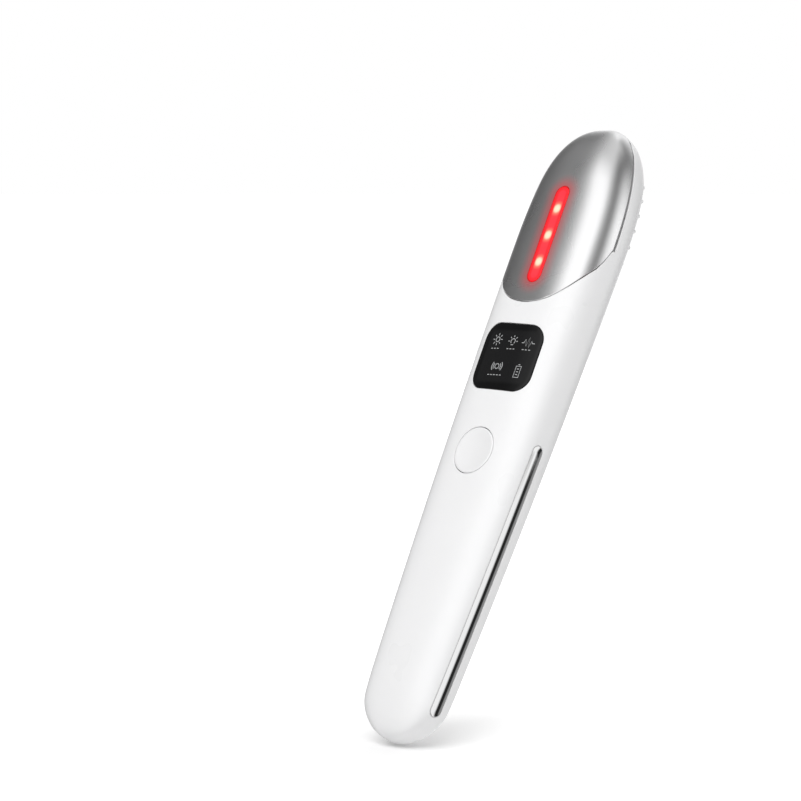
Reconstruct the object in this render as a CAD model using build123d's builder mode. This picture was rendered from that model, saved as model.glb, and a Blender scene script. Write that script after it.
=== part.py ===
from build123d import *
import os
from math import copysign, cos, pi, radians, sin

# Heated eye massager wand, standing upright on its tail.
# +Z runs from the tail tip to the head tip, the display and the power button face -Y and
# the massage pad faces +Y. Lengths are in millimetres.

# ---- Outer form: superelliptic sections, wider and deeper towards the head ----
body_length = 156.0
section_power = 3.0
tail_station = 0.08
middle_station = 0.50
head_station = 0.85
tail_width = 22.3
middle_width = 27.5
head_width = 28.5
tail_depth = 12.6
middle_depth = 15.2
head_depth = 17.3
# Length and power of each rounded end, seen from the front and from the side.
tail_front_round = 9.1
tail_front_power = 1.8
head_front_round = 33.5
head_front_power = 2.4
tail_side_round = 18.2
tail_side_power = 2.6
head_side_round = 16.8
head_side_power = 2.04
# Share of each rounded end's reach where the form stops at a small flat tip.
tip_share = 0.99
# Angles of the superellipse where a section's side turns into its corner, and that into its front.
side_angle = 7
front_angle = 60
# Bands of the loft at the tail, in the middle and at the head, on the seen surface and inside.
seen_bands = (6, 8, 8)
hidden_bands = (4, 8, 5)
hidden_inset = 0.5
cut_reach = 30.0

# ---- Shell ----
wall = 1.6
cap_wall = 1.4
slide_gap = 0.25
seat_gap = 0.05
rim_gap = 0.10

# ---- Head cap, its edge and the shadow gap over the tip ----
cap_front_drop = 49.6
cap_side_drop = 31.9
# Front view of the cap's lower edge: half an ellipse, wider than the form.
cap_arch_half_width = 15.2
cap_arch_height = 18.0
# Side view: the edge slants back to the shadow gap from this place and drop.
cap_slant_y = -4.0
cap_slant_drop = 40.0
cap_seam_gap = 0.12
cap_edge_y = -0.55
shadow_gap = 0.60
seal_recess = 0.25
seal_depth = 0.75
tongue_x = 6.5
tongue_width = 3.5
tongue_reach = 3.6
tongue_root_length = 9.0
tongue_thickness = 1.0
post_radius = 1.5
screw_radius = 0.5
screw_clearance = 0.03
screw_head_radius = 1.1
screw_head_height = 0.7
low_post_drop = 37.5
low_post_x = 8.0
high_post_drop = 13.0
high_post_x = 6.2

# ---- Red light in the cap ----
slot_width = 4.0
slot_length = 24.8
slot_drop = 31.6
lens_flange_margin = 0.9
lens_flange_thickness = 0.7
baffle_thickness = 1.1
baffle_margin = 1.2
baffle_opening_margin = 0.3
led_pitch = 6.95
led_size = 2.0
led_height = 0.7
led_board_thickness = 0.8
led_board_margin = 1.6

# ---- Massage pad and heater ----
pad_drop = 23.4
pad_half_width = 13.1
pad_half_length = 21.2
pad_rim_thickness = 0.95
pad_ledge = 1.8
pad_rim_y = 3.4
nub_rings = 4
outer_nub_count = 24
nubs_fewer_per_ring = 4
middle_nub_count = 4
middle_nub_pitch = 3.7
nub_side_margin = 0.9
nub_end_margin = 2.0
nub_ring_step = 3.1
nub_base_radius = 0.55
nub_sides = 6
nub_taper = 15
nub_height = 0.38
nub_root = 0.30
film_thickness = 0.20
film_width = 15.0
film_length = 28.0
film_corner = 5.0
sensor_x = -4.5
sensor_rise = 2.5
sensor_width = 1.8
sensor_length = 3.0
sensor_depth = 0.9

# ---- Display ----
display_drop = 63.3
window_half_width = 9.3
window_length = 17.0
window_corner = 4.2
window_thickness = 1.10
window_ledge = 1.2
module_clearance = 0.4

# ---- Power button and its switch ----
button_drop = 87.0
button_radius = 5.7
button_gap = 0.18
flange_step = 0.8
flange_thickness = 0.6
plunger_radius = 1.2
plunger_rise = 0.6
plunger_clearance = 0.05
plunger_depth = 0.15
switch_height = 0.9
switch_width = 5.2
switch_floor = 0.2

# ---- Boards, chassis and battery ----
board_thickness = 1.0
board_bottom = 14.0
board_edge_gap = 0.5
board_top_drop = 0.5
chassis_thickness = 1.0
chassis_bottom = 10.0
chassis_top_drop = 52.0
chassis_window_half_width = 6.5
chassis_window_margin = 1.0
chassis_window_rise = 5.1
rail_back_y = 1.5
battery_bottom = 56.0
battery_top_drop = 6.0
battery_side_gap = 0.5
rail_gap = 0.3
foam_thickness = 0.8
foam_margin = 1.5
tab_x = 4.0
tab_width = 2.0
tab_thickness = 0.2
tab_rise = 2.0
chip_size = 5.0
chip_height = 0.9
chip_drop = 12.5
ribbon_width = 5.0
ribbon_thickness = 0.15
ribbon_pad = 3.0
coil_drop = 9.4
coil_width = 9.0
coil_length = 7.0
coil_height = 5.0
buzzer_drop = 18.4
buzzer_radius = 4.0
buzzer_height = 2.5

# ---- Charging port at the back ----
port_height = 40.9
cover_half_width = 9.1
cover_length = 12.0
cover_corner = 3.5
cover_thickness = 1.2
cover_gap = 0.15
port_backing_inset = 2.5
port_backing_margin = 0.8
port_backing_y = 2.5
socket_width = 8.94
socket_height = 3.26
socket_wall = 0.31
socket_mouth_inset = 1.65
socket_gap = 0.15
tongue_board_width = 6.7
tongue_board_thickness = 0.7
tongue_board_recess = 1.4
tongue_root = 1.0
lip_clearance = 0.35
lip_depth = 0.8

# ---- Side strips ----
strip_bottom = 7.1
strip_top = 73.8
strip_width = 3.4
strip_y = -0.8
strip_recess = 0.30
strip_thickness = 0.60
strip_edge_gap = 0.06
strip_inner_x = 6.0
peg_radius = 0.8
peg_clearance = 0.1
peg_overhang = 0.5
low_peg_height = 16.0
high_peg_height = 52.0
spring_thickness = 0.25
spring_width = 2.0
spring_pad = 2.0
spring_set_back = 1.2
notch_margin = 0.5

# ---- Vibration motor ----
motor_bottom_rise = 4.1
motor_length = 11.0
motor_clearance = 0.3
sleeve_thickness = 0.7
shaft_radius = 0.4
shaft_clearance = 0.04
shaft_seat = 3.0
shaft_length = 6.0
weight_gap = 0.8
weight_length = 4.0
weight_radial_gap = 0.4
sleeve_end_margin = 1.0

# ---- Head frame ----
frame_bottom_rise = 3.6
frame_top_drop = 10.0
frame_gap = 0.4
standoff_half_width = 2.8
standoff_length = 2.0
low_standoff_rise = 12.0
high_standoff_rise = 26.0


def through_stations(height, tail_value, middle_value, head_value):
    """Smooth value at a height: the parabola through the sizes at the three stations."""
    share = height / body_length
    tail_part = (share - middle_station) * (share - head_station)
    tail_part /= (tail_station - middle_station) * (tail_station - head_station)
    middle_part = (share - tail_station) * (share - head_station)
    middle_part /= (middle_station - tail_station) * (middle_station - head_station)
    head_part = (share - tail_station) * (share - middle_station)
    head_part /= (head_station - tail_station) * (head_station - middle_station)
    return tail_value * tail_part + middle_value * middle_part + head_value * head_part


def end_rounding(height, inset, tail_round, tail_power, head_round, head_power):
    """Share of the full size that is left at a height; it falls off towards both tips."""
    if height < tail_round:
        reach = (tail_round - height) / (tail_round - inset)
        power = tail_power
    elif height > body_length - head_round:
        reach = (height - body_length + head_round) / (head_round - inset)
        power = head_power
    else:
        return 1.0
    return (1.0 - (tip_share * reach) ** power) ** (1.0 / power)


def half_width(height, inset=0.0):
    """Half width of the form at a height, moved inwards by inset."""
    full = through_stations(height, tail_width, middle_width, head_width) / 2 - inset
    return full * end_rounding(
        height, inset, tail_front_round, tail_front_power, head_front_round, head_front_power
    )


def half_depth(height, inset=0.0):
    """Half depth of the form at a height, moved inwards by inset."""
    full = through_stations(height, tail_depth, middle_depth, head_depth) / 2 - inset
    return full * end_rounding(
        height, inset, tail_side_round, tail_side_power, head_side_round, head_side_power
    )


def depth_at(x, height, inset=0.0):
    """Distance of the form's surface from the middle plane, at a side distance x."""
    share = min(abs(x) / half_width(height, inset), 1.0)
    return half_depth(height, inset) * (1.0 - share**section_power) ** (1.0 / section_power)


def reach_at(y, height, inset=0.0):
    """Side distance of the form's surface, at a distance y from the middle plane."""
    share = min(abs(y) / half_depth(height, inset), 1.0)
    return half_width(height, inset) * (1.0 - share**section_power) ** (1.0 / section_power)


def section_point(angle, height, inset):
    """Point on the superelliptic section at a height, at an angle in degrees."""
    across = cos(radians(angle))
    along = sin(radians(angle))
    x = half_width(height, inset) * copysign(abs(across) ** (2 / section_power), across)
    y = half_depth(height, inset) * copysign(abs(along) ** (2 / section_power), along)
    return (x, y)


def section_heights(inset):
    """Heights of the loft's sections, closer together towards both tips."""
    tail_bands, middle_bands, head_bands = seen_bands if inset < hidden_inset else hidden_bands
    tail_reach = tail_side_round - inset
    head_reach = head_front_round - inset
    middle_reach = body_length - head_front_round - tail_side_round
    heights = []
    for index in range(tail_bands):
        heights.append(inset + tail_reach * (1 - cos(pi / 2 * index / tail_bands)))
    for index in range(middle_bands):
        heights.append(tail_side_round + middle_reach * index / middle_bands)
    for index in range(head_bands, -1, -1):
        heights.append(body_length - inset - head_reach * (1 - cos(pi / 2 * index / head_bands)))
    return heights


def body_form(inset):
    """Solid of the wand's whole form, moved inwards all over by inset.

    It is lofted through sections of eight arcs: four sides and four corners.
    """
    turns = [side_angle, front_angle, 180 - front_angle, 180 - side_angle]
    turns += [turn + 180 for turn in turns] + [side_angle + 360]
    sections = []
    with BuildPart() as form:
        for height in section_heights(inset):
            with BuildSketch(Plane.XY.offset(height)) as section:
                with BuildLine():
                    for start, end in zip(turns, turns[1:]):
                        ThreePointArc(
                            section_point(start, height, inset),
                            section_point((start + end) / 2, height, inset),
                            section_point(end, height, inset),
                        )
                make_face()
            sections.append(section.sketch)
        loft(sections=sections, ruled=True)
    return form.part


def finish(builder, label):
    """Label a finished piece and write it."""
    builder.part.label = label
    export_step(builder.part, "parts/" + label + ".step")


os.makedirs("parts", exist_ok=True)

# ---- Heights that the sizes above give ----
cap_front_edge = body_length - cap_front_drop
cap_side_edge = body_length - cap_side_drop
slot_height = body_length - slot_drop
pad_height = body_length - pad_drop
display_height = body_length - display_drop
button_height = body_length - button_drop
chassis_top = body_length - chassis_top_drop
battery_top = chassis_top - battery_top_drop
board_top = chassis_top - board_top_drop
chassis_window_bottom = port_height - buzzer_drop - buzzer_radius - chassis_window_margin
chassis_window_top = port_height + chassis_window_rise

# ---- Layers from the front wall backwards, as places along Y ----
flange_radius = button_radius + flange_step
flange_front_y = -depth_at(flange_radius, button_height - flange_radius, wall) + button_gap
flange_back_y = flange_front_y + flange_thickness
switch_top_y = flange_back_y + plunger_rise
board_front_y = switch_top_y + switch_height
board_back_y = board_front_y + board_thickness
chassis_back_y = board_back_y + chassis_thickness
foam_back_y = depth_at(0, battery_bottom, wall) - slide_gap
battery_back_y = foam_back_y - foam_thickness
battery_half_width = reach_at(battery_back_y, battery_bottom, wall) - battery_side_gap
board_half_width = reach_at(board_front_y, board_bottom, wall) - board_edge_gap

outer_form = body_form(0)
wall_form = body_form(wall)
cap_inner_form = body_form(cap_wall)

# ---- Housing: one seamless shell, open at the front of the head ----
groove_floor_form = body_form(strip_recess + strip_thickness + seat_gap)
window_floor_form = body_form(window_thickness + seat_gap)
pad_floor_form = body_form(pad_rim_thickness + seat_gap)
cover_floor_form = body_form(cover_thickness + seat_gap)
shell_edge_y = cap_edge_y + shadow_gap
slant_edge = body_length - cap_slant_drop
edge_slope = (cap_side_edge - slant_edge) / (cap_edge_y - cap_slant_y)
arch_height = cap_front_edge + cap_arch_height


def arch_region(inset):
    """Everything in front that lies above the cap's arched lower edge, raised by inset."""
    with BuildPart() as region:
        with BuildSketch(Plane.XZ.offset(-cut_reach)):
            with Locations((0, arch_height)):
                Ellipse(cap_arch_half_width - inset, cap_arch_height - inset)
                Rectangle(
                    2 * (cap_arch_half_width - inset),
                    body_length,
                    align=(Align.CENTER, Align.MIN),
                )
        extrude(amount=2 * cut_reach)
    return region.part


with BuildPart() as head_opening:
    with BuildSketch(Plane.YZ):
        with BuildLine():
            Polyline(
                (-cut_reach, 0),
                (cap_slant_y, 0),
                (cap_slant_y, slant_edge),
                (cap_edge_y, cap_side_edge),
                (shell_edge_y, cap_side_edge),
                (shell_edge_y, body_length + cut_reach),
                (-cut_reach, body_length + cut_reach),
                close=True,
            )
        make_face()
    extrude(amount=cut_reach, both=True)
    add(arch_region(0), mode=Mode.INTERSECT)

with BuildPart() as window_seat:
    with BuildSketch(Plane.XZ):
        with Locations((0, display_height)):
            RectangleRounded(
                2 * (window_half_width + rim_gap),
                window_length + 2 * rim_gap,
                window_corner + rim_gap,
            )
    extrude(amount=cut_reach)
    add(window_floor_form, mode=Mode.SUBTRACT)

with BuildPart() as pad_seat:
    with BuildSketch(Plane.XZ.offset(-pad_rim_y + seat_gap)):
        with Locations((0, pad_height)):
            Ellipse(pad_half_width + rim_gap, pad_half_length + rim_gap)
    extrude(amount=-cut_reach)
    add(pad_floor_form, mode=Mode.SUBTRACT)

with BuildPart() as cover_seat:
    with BuildSketch(Plane.XZ.offset(-port_backing_y)):
        with Locations((0, port_height)):
            RectangleRounded(
                2 * (cover_half_width + cover_gap),
                cover_length + 2 * cover_gap,
                cover_corner + cover_gap,
            )
    extrude(amount=-cut_reach)
    add(cover_floor_form, mode=Mode.SUBTRACT)

with BuildPart() as port_backing:
    with BuildSketch(Plane.XZ.offset(-port_backing_y)):
        with Locations((0, port_height)):
            Rectangle(
                2 * (cover_half_width + port_backing_margin),
                cover_length + 2 * port_backing_margin,
            )
    extrude(amount=-cut_reach)
    add(body_form(wall / 2), mode=Mode.INTERSECT)
    add(body_form(port_backing_inset), mode=Mode.SUBTRACT)

strip_length = strip_top - strip_bottom
strip_middle = (strip_top + strip_bottom) / 2
peg_heights = (low_peg_height, high_peg_height)

with BuildPart() as right_groove:
    with BuildSketch(Plane.YZ.offset(strip_inner_x)):
        with Locations((strip_y, strip_middle)):
            SlotOverall(strip_length, strip_width, rotation=90)
    extrude(amount=cut_reach)
    add(groove_floor_form, mode=Mode.SUBTRACT)
    with BuildSketch(Plane.YZ.offset(strip_inner_x)):
        for peg_height in peg_heights:
            with Locations((strip_y, peg_height)):
                Circle(peg_radius + peg_clearance)
    extrude(amount=cut_reach)

with BuildPart() as housing:
    add(outer_form)
    add(wall_form, mode=Mode.SUBTRACT)
    add(port_backing.part)
    add(head_opening.part, mode=Mode.SUBTRACT)
    add(window_seat.part, mode=Mode.SUBTRACT)
    add(pad_seat.part, mode=Mode.SUBTRACT)
    add(cover_seat.part, mode=Mode.SUBTRACT)
    add(right_groove.part, mode=Mode.SUBTRACT)
    mirror(right_groove.part, about=Plane.YZ, mode=Mode.SUBTRACT)
    # Opening behind the display window, inside its ledge.
    with BuildSketch(Plane.XZ):
        with Locations((0, display_height)):
            RectangleRounded(
                2 * (window_half_width - window_ledge),
                window_length - 2 * window_ledge,
                window_corner - window_ledge,
            )
    extrude(amount=cut_reach, mode=Mode.SUBTRACT)
    # Round hole of the power button.
    with BuildSketch(Plane.XZ):
        with Locations((0, button_height)):
            Circle(button_radius + button_gap)
    extrude(amount=cut_reach, mode=Mode.SUBTRACT)
    # Opening behind the massage pad, inside its ledge.
    with BuildSketch(Plane.XZ.offset(-pad_rim_y + seat_gap)):
        with Locations((0, pad_height)):
            Ellipse(pad_half_width - pad_ledge + rim_gap, pad_half_length - pad_ledge + rim_gap)
    extrude(amount=-cut_reach, mode=Mode.SUBTRACT)
    # Opening for the charging socket.
    with BuildSketch(Plane.XZ):
        with Locations((0, port_height)):
            SlotOverall(socket_width + 2 * socket_gap, socket_height + 2 * socket_gap)
    extrude(amount=-cut_reach, mode=Mode.SUBTRACT)
finish(housing, "housing")

# ---- Head cap: metallised front of the head, with a tongue under the housing's edge ----
frame_front_y = board_back_y
frame_back_y = chassis_back_y
post_places = [
    (side * x, body_length - drop)
    for side in (-1, 1)
    for x, drop in ((low_post_x, low_post_drop), (high_post_x, high_post_drop))
]

cap_lift = cap_seam_gap * edge_slope
with BuildPart() as cap_region:
    with BuildSketch(Plane.YZ):
        with BuildLine():
            Polyline(
                (-cut_reach, 0),
                (cap_slant_y, 0),
                (cap_slant_y, slant_edge + cap_lift),
                (cap_edge_y, cap_side_edge + cap_lift),
                (cap_edge_y, body_length + cut_reach),
                (-cut_reach, body_length + cut_reach),
                close=True,
            )
        make_face()
    extrude(amount=cut_reach, both=True)
    add(arch_region(cap_seam_gap), mode=Mode.INTERSECT)

tongue_outer_inset = wall + seat_gap
tongue_inner_form = body_form(tongue_outer_inset + tongue_thickness)

tongue_centre = cap_front_edge + (tongue_root_length - tongue_reach) / 2

with BuildPart() as cap_tongues:
    with BuildSketch(Plane.XZ.offset(-frame_front_y)):
        with Locations((-tongue_x, tongue_centre), (tongue_x, tongue_centre)):
            Rectangle(tongue_width, tongue_reach + tongue_root_length)
    extrude(amount=cut_reach)
    add(body_form(tongue_outer_inset), mode=Mode.INTERSECT)
    add(tongue_inner_form, mode=Mode.SUBTRACT)

with BuildPart() as tongue_roots:
    with BuildSketch(Plane.XZ.offset(-frame_front_y)):
        with Locations((-tongue_x, tongue_centre), (tongue_x, tongue_centre)):
            Rectangle(tongue_width, tongue_reach + tongue_root_length)
    extrude(amount=cut_reach)
    add(body_form(cap_wall / 2), mode=Mode.INTERSECT)
    add(tongue_inner_form, mode=Mode.SUBTRACT)
    add(cap_region.part, mode=Mode.INTERSECT)

with BuildPart() as cap_posts:
    with BuildSketch(Plane.XZ.offset(-frame_front_y)):
        with Locations(*post_places):
            Circle(post_radius)
    extrude(amount=cut_reach)
    add(body_form(cap_wall / 2), mode=Mode.INTERSECT)

with BuildPart() as head_cap:
    add(outer_form)
    add(cap_inner_form, mode=Mode.SUBTRACT)
    add(cap_region.part, mode=Mode.INTERSECT)
    add(cap_tongues.part)
    add(tongue_roots.part)
    add(cap_posts.part)
    # Slot of the red light.
    with BuildSketch(Plane.XZ):
        with Locations((0, slot_height)):
            SlotOverall(slot_length, slot_width, rotation=90)
    extrude(amount=cut_reach, mode=Mode.SUBTRACT)
    # Pilot holes of the frame screws.
    with BuildSketch(Plane.XZ.offset(-frame_front_y)):
        with Locations(*post_places):
            Circle(screw_radius)
    extrude(amount=post_radius * 2, mode=Mode.SUBTRACT)
finish(head_cap, "head_cap")

# ---- Seal in the shadow gap between the cap and the back of the head ----
with BuildPart() as head_seal:
    with BuildSketch(Plane.XY.offset(cap_side_edge + seat_gap)):
        with Locations((0, (cap_edge_y + shell_edge_y) / 2)):
            Rectangle(2 * cut_reach, shadow_gap - 2 * seat_gap)
    extrude(amount=cut_reach * 2)
    add(body_form(seal_recess), mode=Mode.INTERSECT)
    add(body_form(seal_recess + seal_depth), mode=Mode.SUBTRACT)
finish(head_seal, "head_seal")

# ---- Light window: red lens with a flange behind the cap ----
flange_half = slot_width / 2 + lens_flange_margin
lens_flange_y = -depth_at(flange_half, slot_height - slot_length / 2, cap_wall) + seat_gap
lens_back_y = lens_flange_y + lens_flange_thickness

with BuildPart() as lens_flange:
    with BuildSketch(Plane.XZ.offset(-lens_back_y)):
        with Locations((0, slot_height)):
            SlotOverall(
                slot_length + 2 * lens_flange_margin,
                slot_width + 2 * lens_flange_margin,
                rotation=90,
            )
    extrude(amount=cut_reach)
    add(body_form(cap_wall + seat_gap), mode=Mode.INTERSECT)

with BuildPart() as light_window:
    with BuildSketch(Plane.XZ.offset(-lens_back_y)):
        with Locations((0, slot_height)):
            SlotOverall(slot_length - 2 * rim_gap, slot_width - 2 * rim_gap, rotation=90)
    extrude(amount=cut_reach)
    add(outer_form, mode=Mode.INTERSECT)
    add(lens_flange.part)
finish(light_window, "light_window")

# ---- White baffle that keeps the light in, the LED board and its three LEDs ----
led_board_front_y = lens_back_y + baffle_thickness
led_board_back_y = led_board_front_y + led_board_thickness

with BuildPart() as light_baffle:
    with BuildSketch(Plane.XZ.offset(-led_board_front_y)):
        with Locations((0, slot_height)):
            SlotOverall(
                slot_length + 2 * baffle_margin, slot_width + 2 * baffle_margin, rotation=90
            )
            SlotOverall(
                slot_length + 2 * baffle_opening_margin,
                slot_width + 2 * baffle_opening_margin,
                rotation=90,
                mode=Mode.SUBTRACT,
            )
    extrude(amount=baffle_thickness)
finish(light_baffle, "light_baffle")

led_board_half_length = slot_length / 2 + led_board_margin
with BuildPart() as led_board:
    with BuildSketch(Plane.XZ.offset(-led_board_back_y)):
        with Locations((0, slot_height)):
            Rectangle(slot_width + 2 * led_board_margin, 2 * led_board_half_length)
    extrude(amount=led_board_thickness)
finish(led_board, "led_board")

with BuildPart() as red_leds:
    with BuildSketch(Plane.XZ.offset(-led_board_front_y)):
        with Locations((0, slot_height)):
            with GridLocations(1, led_pitch, 1, 3):
                Rectangle(led_size, led_size)
    extrude(amount=led_height)
finish(red_leds, "red_leds")

# ---- Head frame: carries the LED board and the motor, screwed to the cap's posts ----
frame_bottom = cap_front_edge + frame_bottom_rise
frame_top = body_length - frame_top_drop
standoff_heights = (cap_front_edge + low_standoff_rise, cap_front_edge + high_standoff_rise)

with BuildPart() as head_frame:
    with BuildSketch(Plane.XZ.offset(-frame_back_y)):
        with Locations((0, (frame_bottom + frame_top) / 2)):
            Rectangle(2 * cut_reach, frame_top - frame_bottom)
    extrude(amount=chassis_thickness)
    add(body_form(wall + frame_gap), mode=Mode.INTERSECT)
    with BuildSketch(Plane.XZ.offset(-frame_front_y)):
        for standoff_height in standoff_heights:
            with Locations((0, standoff_height)):
                Rectangle(2 * standoff_half_width, standoff_length)
    extrude(amount=frame_front_y - led_board_back_y)
    with BuildSketch(Plane.XZ.offset(-frame_back_y)):
        with Locations(*post_places):
            Circle(screw_radius + rim_gap)
    extrude(amount=chassis_thickness, mode=Mode.SUBTRACT)
finish(head_frame, "head_frame")

with BuildPart() as frame_screws:
    with BuildSketch(Plane.XZ.offset(-frame_back_y)):
        with Locations(*post_places):
            Circle(screw_radius - screw_clearance)
    extrude(amount=chassis_thickness + post_radius)
    with BuildSketch(Plane.XZ.offset(-frame_back_y)):
        with Locations(*post_places):
            Circle(screw_head_radius)
    extrude(amount=-screw_head_height)
finish(frame_screws, "frame_screws")

# ---- Massage pad with rings of nubs, over its heating film ----
core_half_width = pad_half_width - pad_ledge
core_half_length = pad_half_length - pad_ledge


def surface_plane(x, height):
    """Plane on the pad side of the form, its normal pointing outwards."""
    step = 0.05
    y = depth_at(x, height)
    slope_x = (depth_at(x + step, height) - depth_at(x - step, height)) / (2 * step)
    slope_z = (depth_at(x, height + step) - depth_at(x, height - step)) / (2 * step)
    return Plane(origin=(x, y, height), z_dir=(-slope_x, 1, -slope_z))


def nub_planes():
    """A plane for each nub: evenly spaced rings inside the rim and a middle row."""
    planes = []
    for ring in range(nub_rings):
        ring_path = Edge.make_ellipse(
            pad_half_width - nub_side_margin - ring * nub_ring_step,
            pad_half_length - nub_end_margin - ring * nub_ring_step,
        )
        count = outer_nub_count - ring * nubs_fewer_per_ring
        for index in range(count):
            place = ring_path @ (index / count)
            planes.append(surface_plane(place.X, pad_height + place.Y))
    for index in range(middle_nub_count):
        offset_z = (index - (middle_nub_count - 1) / 2) * middle_nub_pitch
        planes.append(surface_plane(0, pad_height + offset_z))
    return planes


with BuildPart() as pad_core:
    with BuildSketch(Plane.XZ.offset(-pad_rim_y)):
        with Locations((0, pad_height)):
            Ellipse(core_half_width, core_half_length)
    extrude(amount=-cut_reach)
    add(outer_form, mode=Mode.INTERSECT)
    add(wall_form, mode=Mode.SUBTRACT)

with BuildPart() as nub:
    with BuildSketch():
        RegularPolygon(nub_base_radius, nub_sides)
    extrude(amount=nub_root + nub_height, taper=nub_taper)

with BuildPart() as massage_pad:
    with BuildSketch(Plane.XZ.offset(-pad_rim_y)):
        with Locations((0, pad_height)):
            Ellipse(pad_half_width, pad_half_length)
    extrude(amount=-cut_reach)
    add(outer_form, mode=Mode.INTERSECT)
    add(body_form(pad_rim_thickness), mode=Mode.SUBTRACT)
    add(pad_core.part)
    with Locations(*[plane.offset(-nub_root) for plane in nub_planes()]):
        add(nub.part)
finish(massage_pad, "massage_pad")

film_front_inset = wall + seat_gap
film_back_inset = film_front_inset + film_thickness
film_back_form = body_form(film_back_inset)

with BuildPart() as heating_film:
    with BuildSketch(Plane.XZ.offset(-pad_rim_y)):
        with Locations((0, pad_height)):
            RectangleRounded(film_width, film_length, film_corner)
    extrude(amount=-cut_reach)
    add(body_form(film_front_inset), mode=Mode.INTERSECT)
    add(film_back_form, mode=Mode.SUBTRACT)
finish(heating_film, "heating_film")

sensor_height = pad_height + sensor_rise
sensor_back_y = depth_at(sensor_x, sensor_height, film_back_inset) - sensor_depth
with BuildPart() as temperature_sensor:
    with BuildSketch(Plane.XZ.offset(-sensor_back_y)):
        with Locations((sensor_x, sensor_height)):
            Rectangle(sensor_width, sensor_length)
    extrude(amount=-cut_reach)
    add(body_form(film_back_inset + seat_gap), mode=Mode.INTERSECT)
finish(temperature_sensor, "temperature_sensor")

# ---- Vibration motor in its rubber sleeve, with an eccentric weight on the shaft ----
motor_bottom = cap_front_edge + motor_bottom_rise
motor_top = motor_bottom + motor_length
room_back_y = depth_at(0, motor_bottom, film_back_inset) - motor_clearance
sleeve_radius = (room_back_y - frame_back_y) / 2
motor_y = frame_back_y + sleeve_radius
motor_radius = sleeve_radius - sleeve_thickness

with BuildPart() as motor_sleeve:
    with BuildSketch(Plane.XY.offset(motor_bottom + sleeve_end_margin)):
        with Locations((0, motor_y)):
            Circle(sleeve_radius)
        with Locations((0, motor_y - sleeve_radius / 2)):
            Rectangle(2 * sleeve_radius, sleeve_radius)
        with Locations((0, motor_y)):
            Circle(motor_radius + seat_gap, mode=Mode.SUBTRACT)
    extrude(amount=motor_length - 2 * sleeve_end_margin)
finish(motor_sleeve, "motor_sleeve")

with BuildPart() as vibration_motor:
    with BuildSketch(Plane.XY.offset(motor_bottom)):
        with Locations((0, motor_y)):
            Circle(motor_radius)
    extrude(amount=motor_length)
    with BuildSketch(Plane.XY.offset(motor_top)):
        with Locations((0, motor_y)):
            Circle(shaft_radius + shaft_clearance)
    extrude(amount=-shaft_seat, mode=Mode.SUBTRACT)
finish(vibration_motor, "vibration_motor")

with BuildPart() as motor_shaft:
    with BuildSketch(Plane.XY.offset(motor_top - shaft_seat + shaft_clearance)):
        with Locations((0, motor_y)):
            Circle(shaft_radius)
    extrude(amount=shaft_seat + shaft_length)
finish(motor_shaft, "motor_shaft")

weight_radius = motor_radius - weight_radial_gap
with BuildPart() as eccentric_weight:
    with BuildSketch(Plane.XY.offset(motor_top + weight_gap)):
        with Locations((0, motor_y)):
            Circle(weight_radius)
            Rectangle(
                2 * weight_radius,
                weight_radius,
                align=(Align.CENTER, Align.MIN),
                mode=Mode.SUBTRACT,
            )
            Circle(2.5 * shaft_radius)
            Circle(shaft_radius, mode=Mode.SUBTRACT)
    extrude(amount=weight_length)
finish(eccentric_weight, "eccentric_weight")

# ---- Display window and the display module behind it ----
with BuildPart() as display_window:
    with BuildSketch(Plane.XZ):
        with Locations((0, display_height)):
            RectangleRounded(2 * window_half_width, window_length, window_corner)
    extrude(amount=cut_reach)
    add(outer_form, mode=Mode.INTERSECT)
    add(body_form(window_thickness), mode=Mode.SUBTRACT)
finish(display_window, "display_window")

module_half_width = window_half_width - window_ledge - module_clearance
module_half_length = window_length / 2 - window_ledge - module_clearance
module_low = display_height - module_half_length
module_front_y = -depth_at(module_half_width, module_low, window_thickness) + rim_gap
with BuildPart() as display_module:
    with BuildSketch(Plane.XZ.offset(-board_front_y)):
        with Locations((0, display_height)):
            RectangleRounded(
                2 * module_half_width,
                2 * module_half_length,
                window_corner - window_ledge - module_clearance,
            )
    extrude(amount=board_front_y - module_front_y)
finish(display_module, "display_module")

# ---- Power button, flush with the form, over its tactile switch ----
with BuildPart() as power_button:
    with BuildSketch(Plane.XZ.offset(-flange_back_y)):
        with Locations((0, button_height)):
            Circle(button_radius)
    extrude(amount=cut_reach)
    add(outer_form, mode=Mode.INTERSECT)
    with BuildSketch(Plane.XZ.offset(-flange_back_y)):
        with Locations((0, button_height)):
            Circle(flange_radius)
    extrude(amount=flange_thickness)
finish(power_button, "power_button")

with BuildPart() as switch_body:
    with BuildSketch(Plane.XZ.offset(-board_front_y)):
        with Locations((0, button_height)):
            RectangleRounded(switch_width, switch_width, switch_floor * 2)
    extrude(amount=switch_height)
    with BuildSketch(Plane.XZ.offset(-switch_top_y)):
        with Locations((0, button_height)):
            Circle(plunger_radius + plunger_clearance)
    extrude(amount=-(switch_height - switch_floor), mode=Mode.SUBTRACT)
finish(switch_body, "switch_body")

with BuildPart() as switch_plunger:
    with BuildSketch(Plane.XZ.offset(-switch_top_y + plunger_rise)):
        with Locations((0, button_height)):
            Circle(plunger_radius)
    extrude(amount=-(plunger_rise + plunger_depth))
finish(switch_plunger, "switch_plunger")

# ---- Main board and what sits on it ----
with BuildPart() as main_board:
    with BuildSketch(Plane.XZ.offset(-board_back_y)):
        with Locations((0, (board_bottom + board_top) / 2)):
            Rectangle(2 * board_half_width, board_top - board_bottom)
    extrude(amount=board_thickness)
finish(main_board, "main_board")

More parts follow.
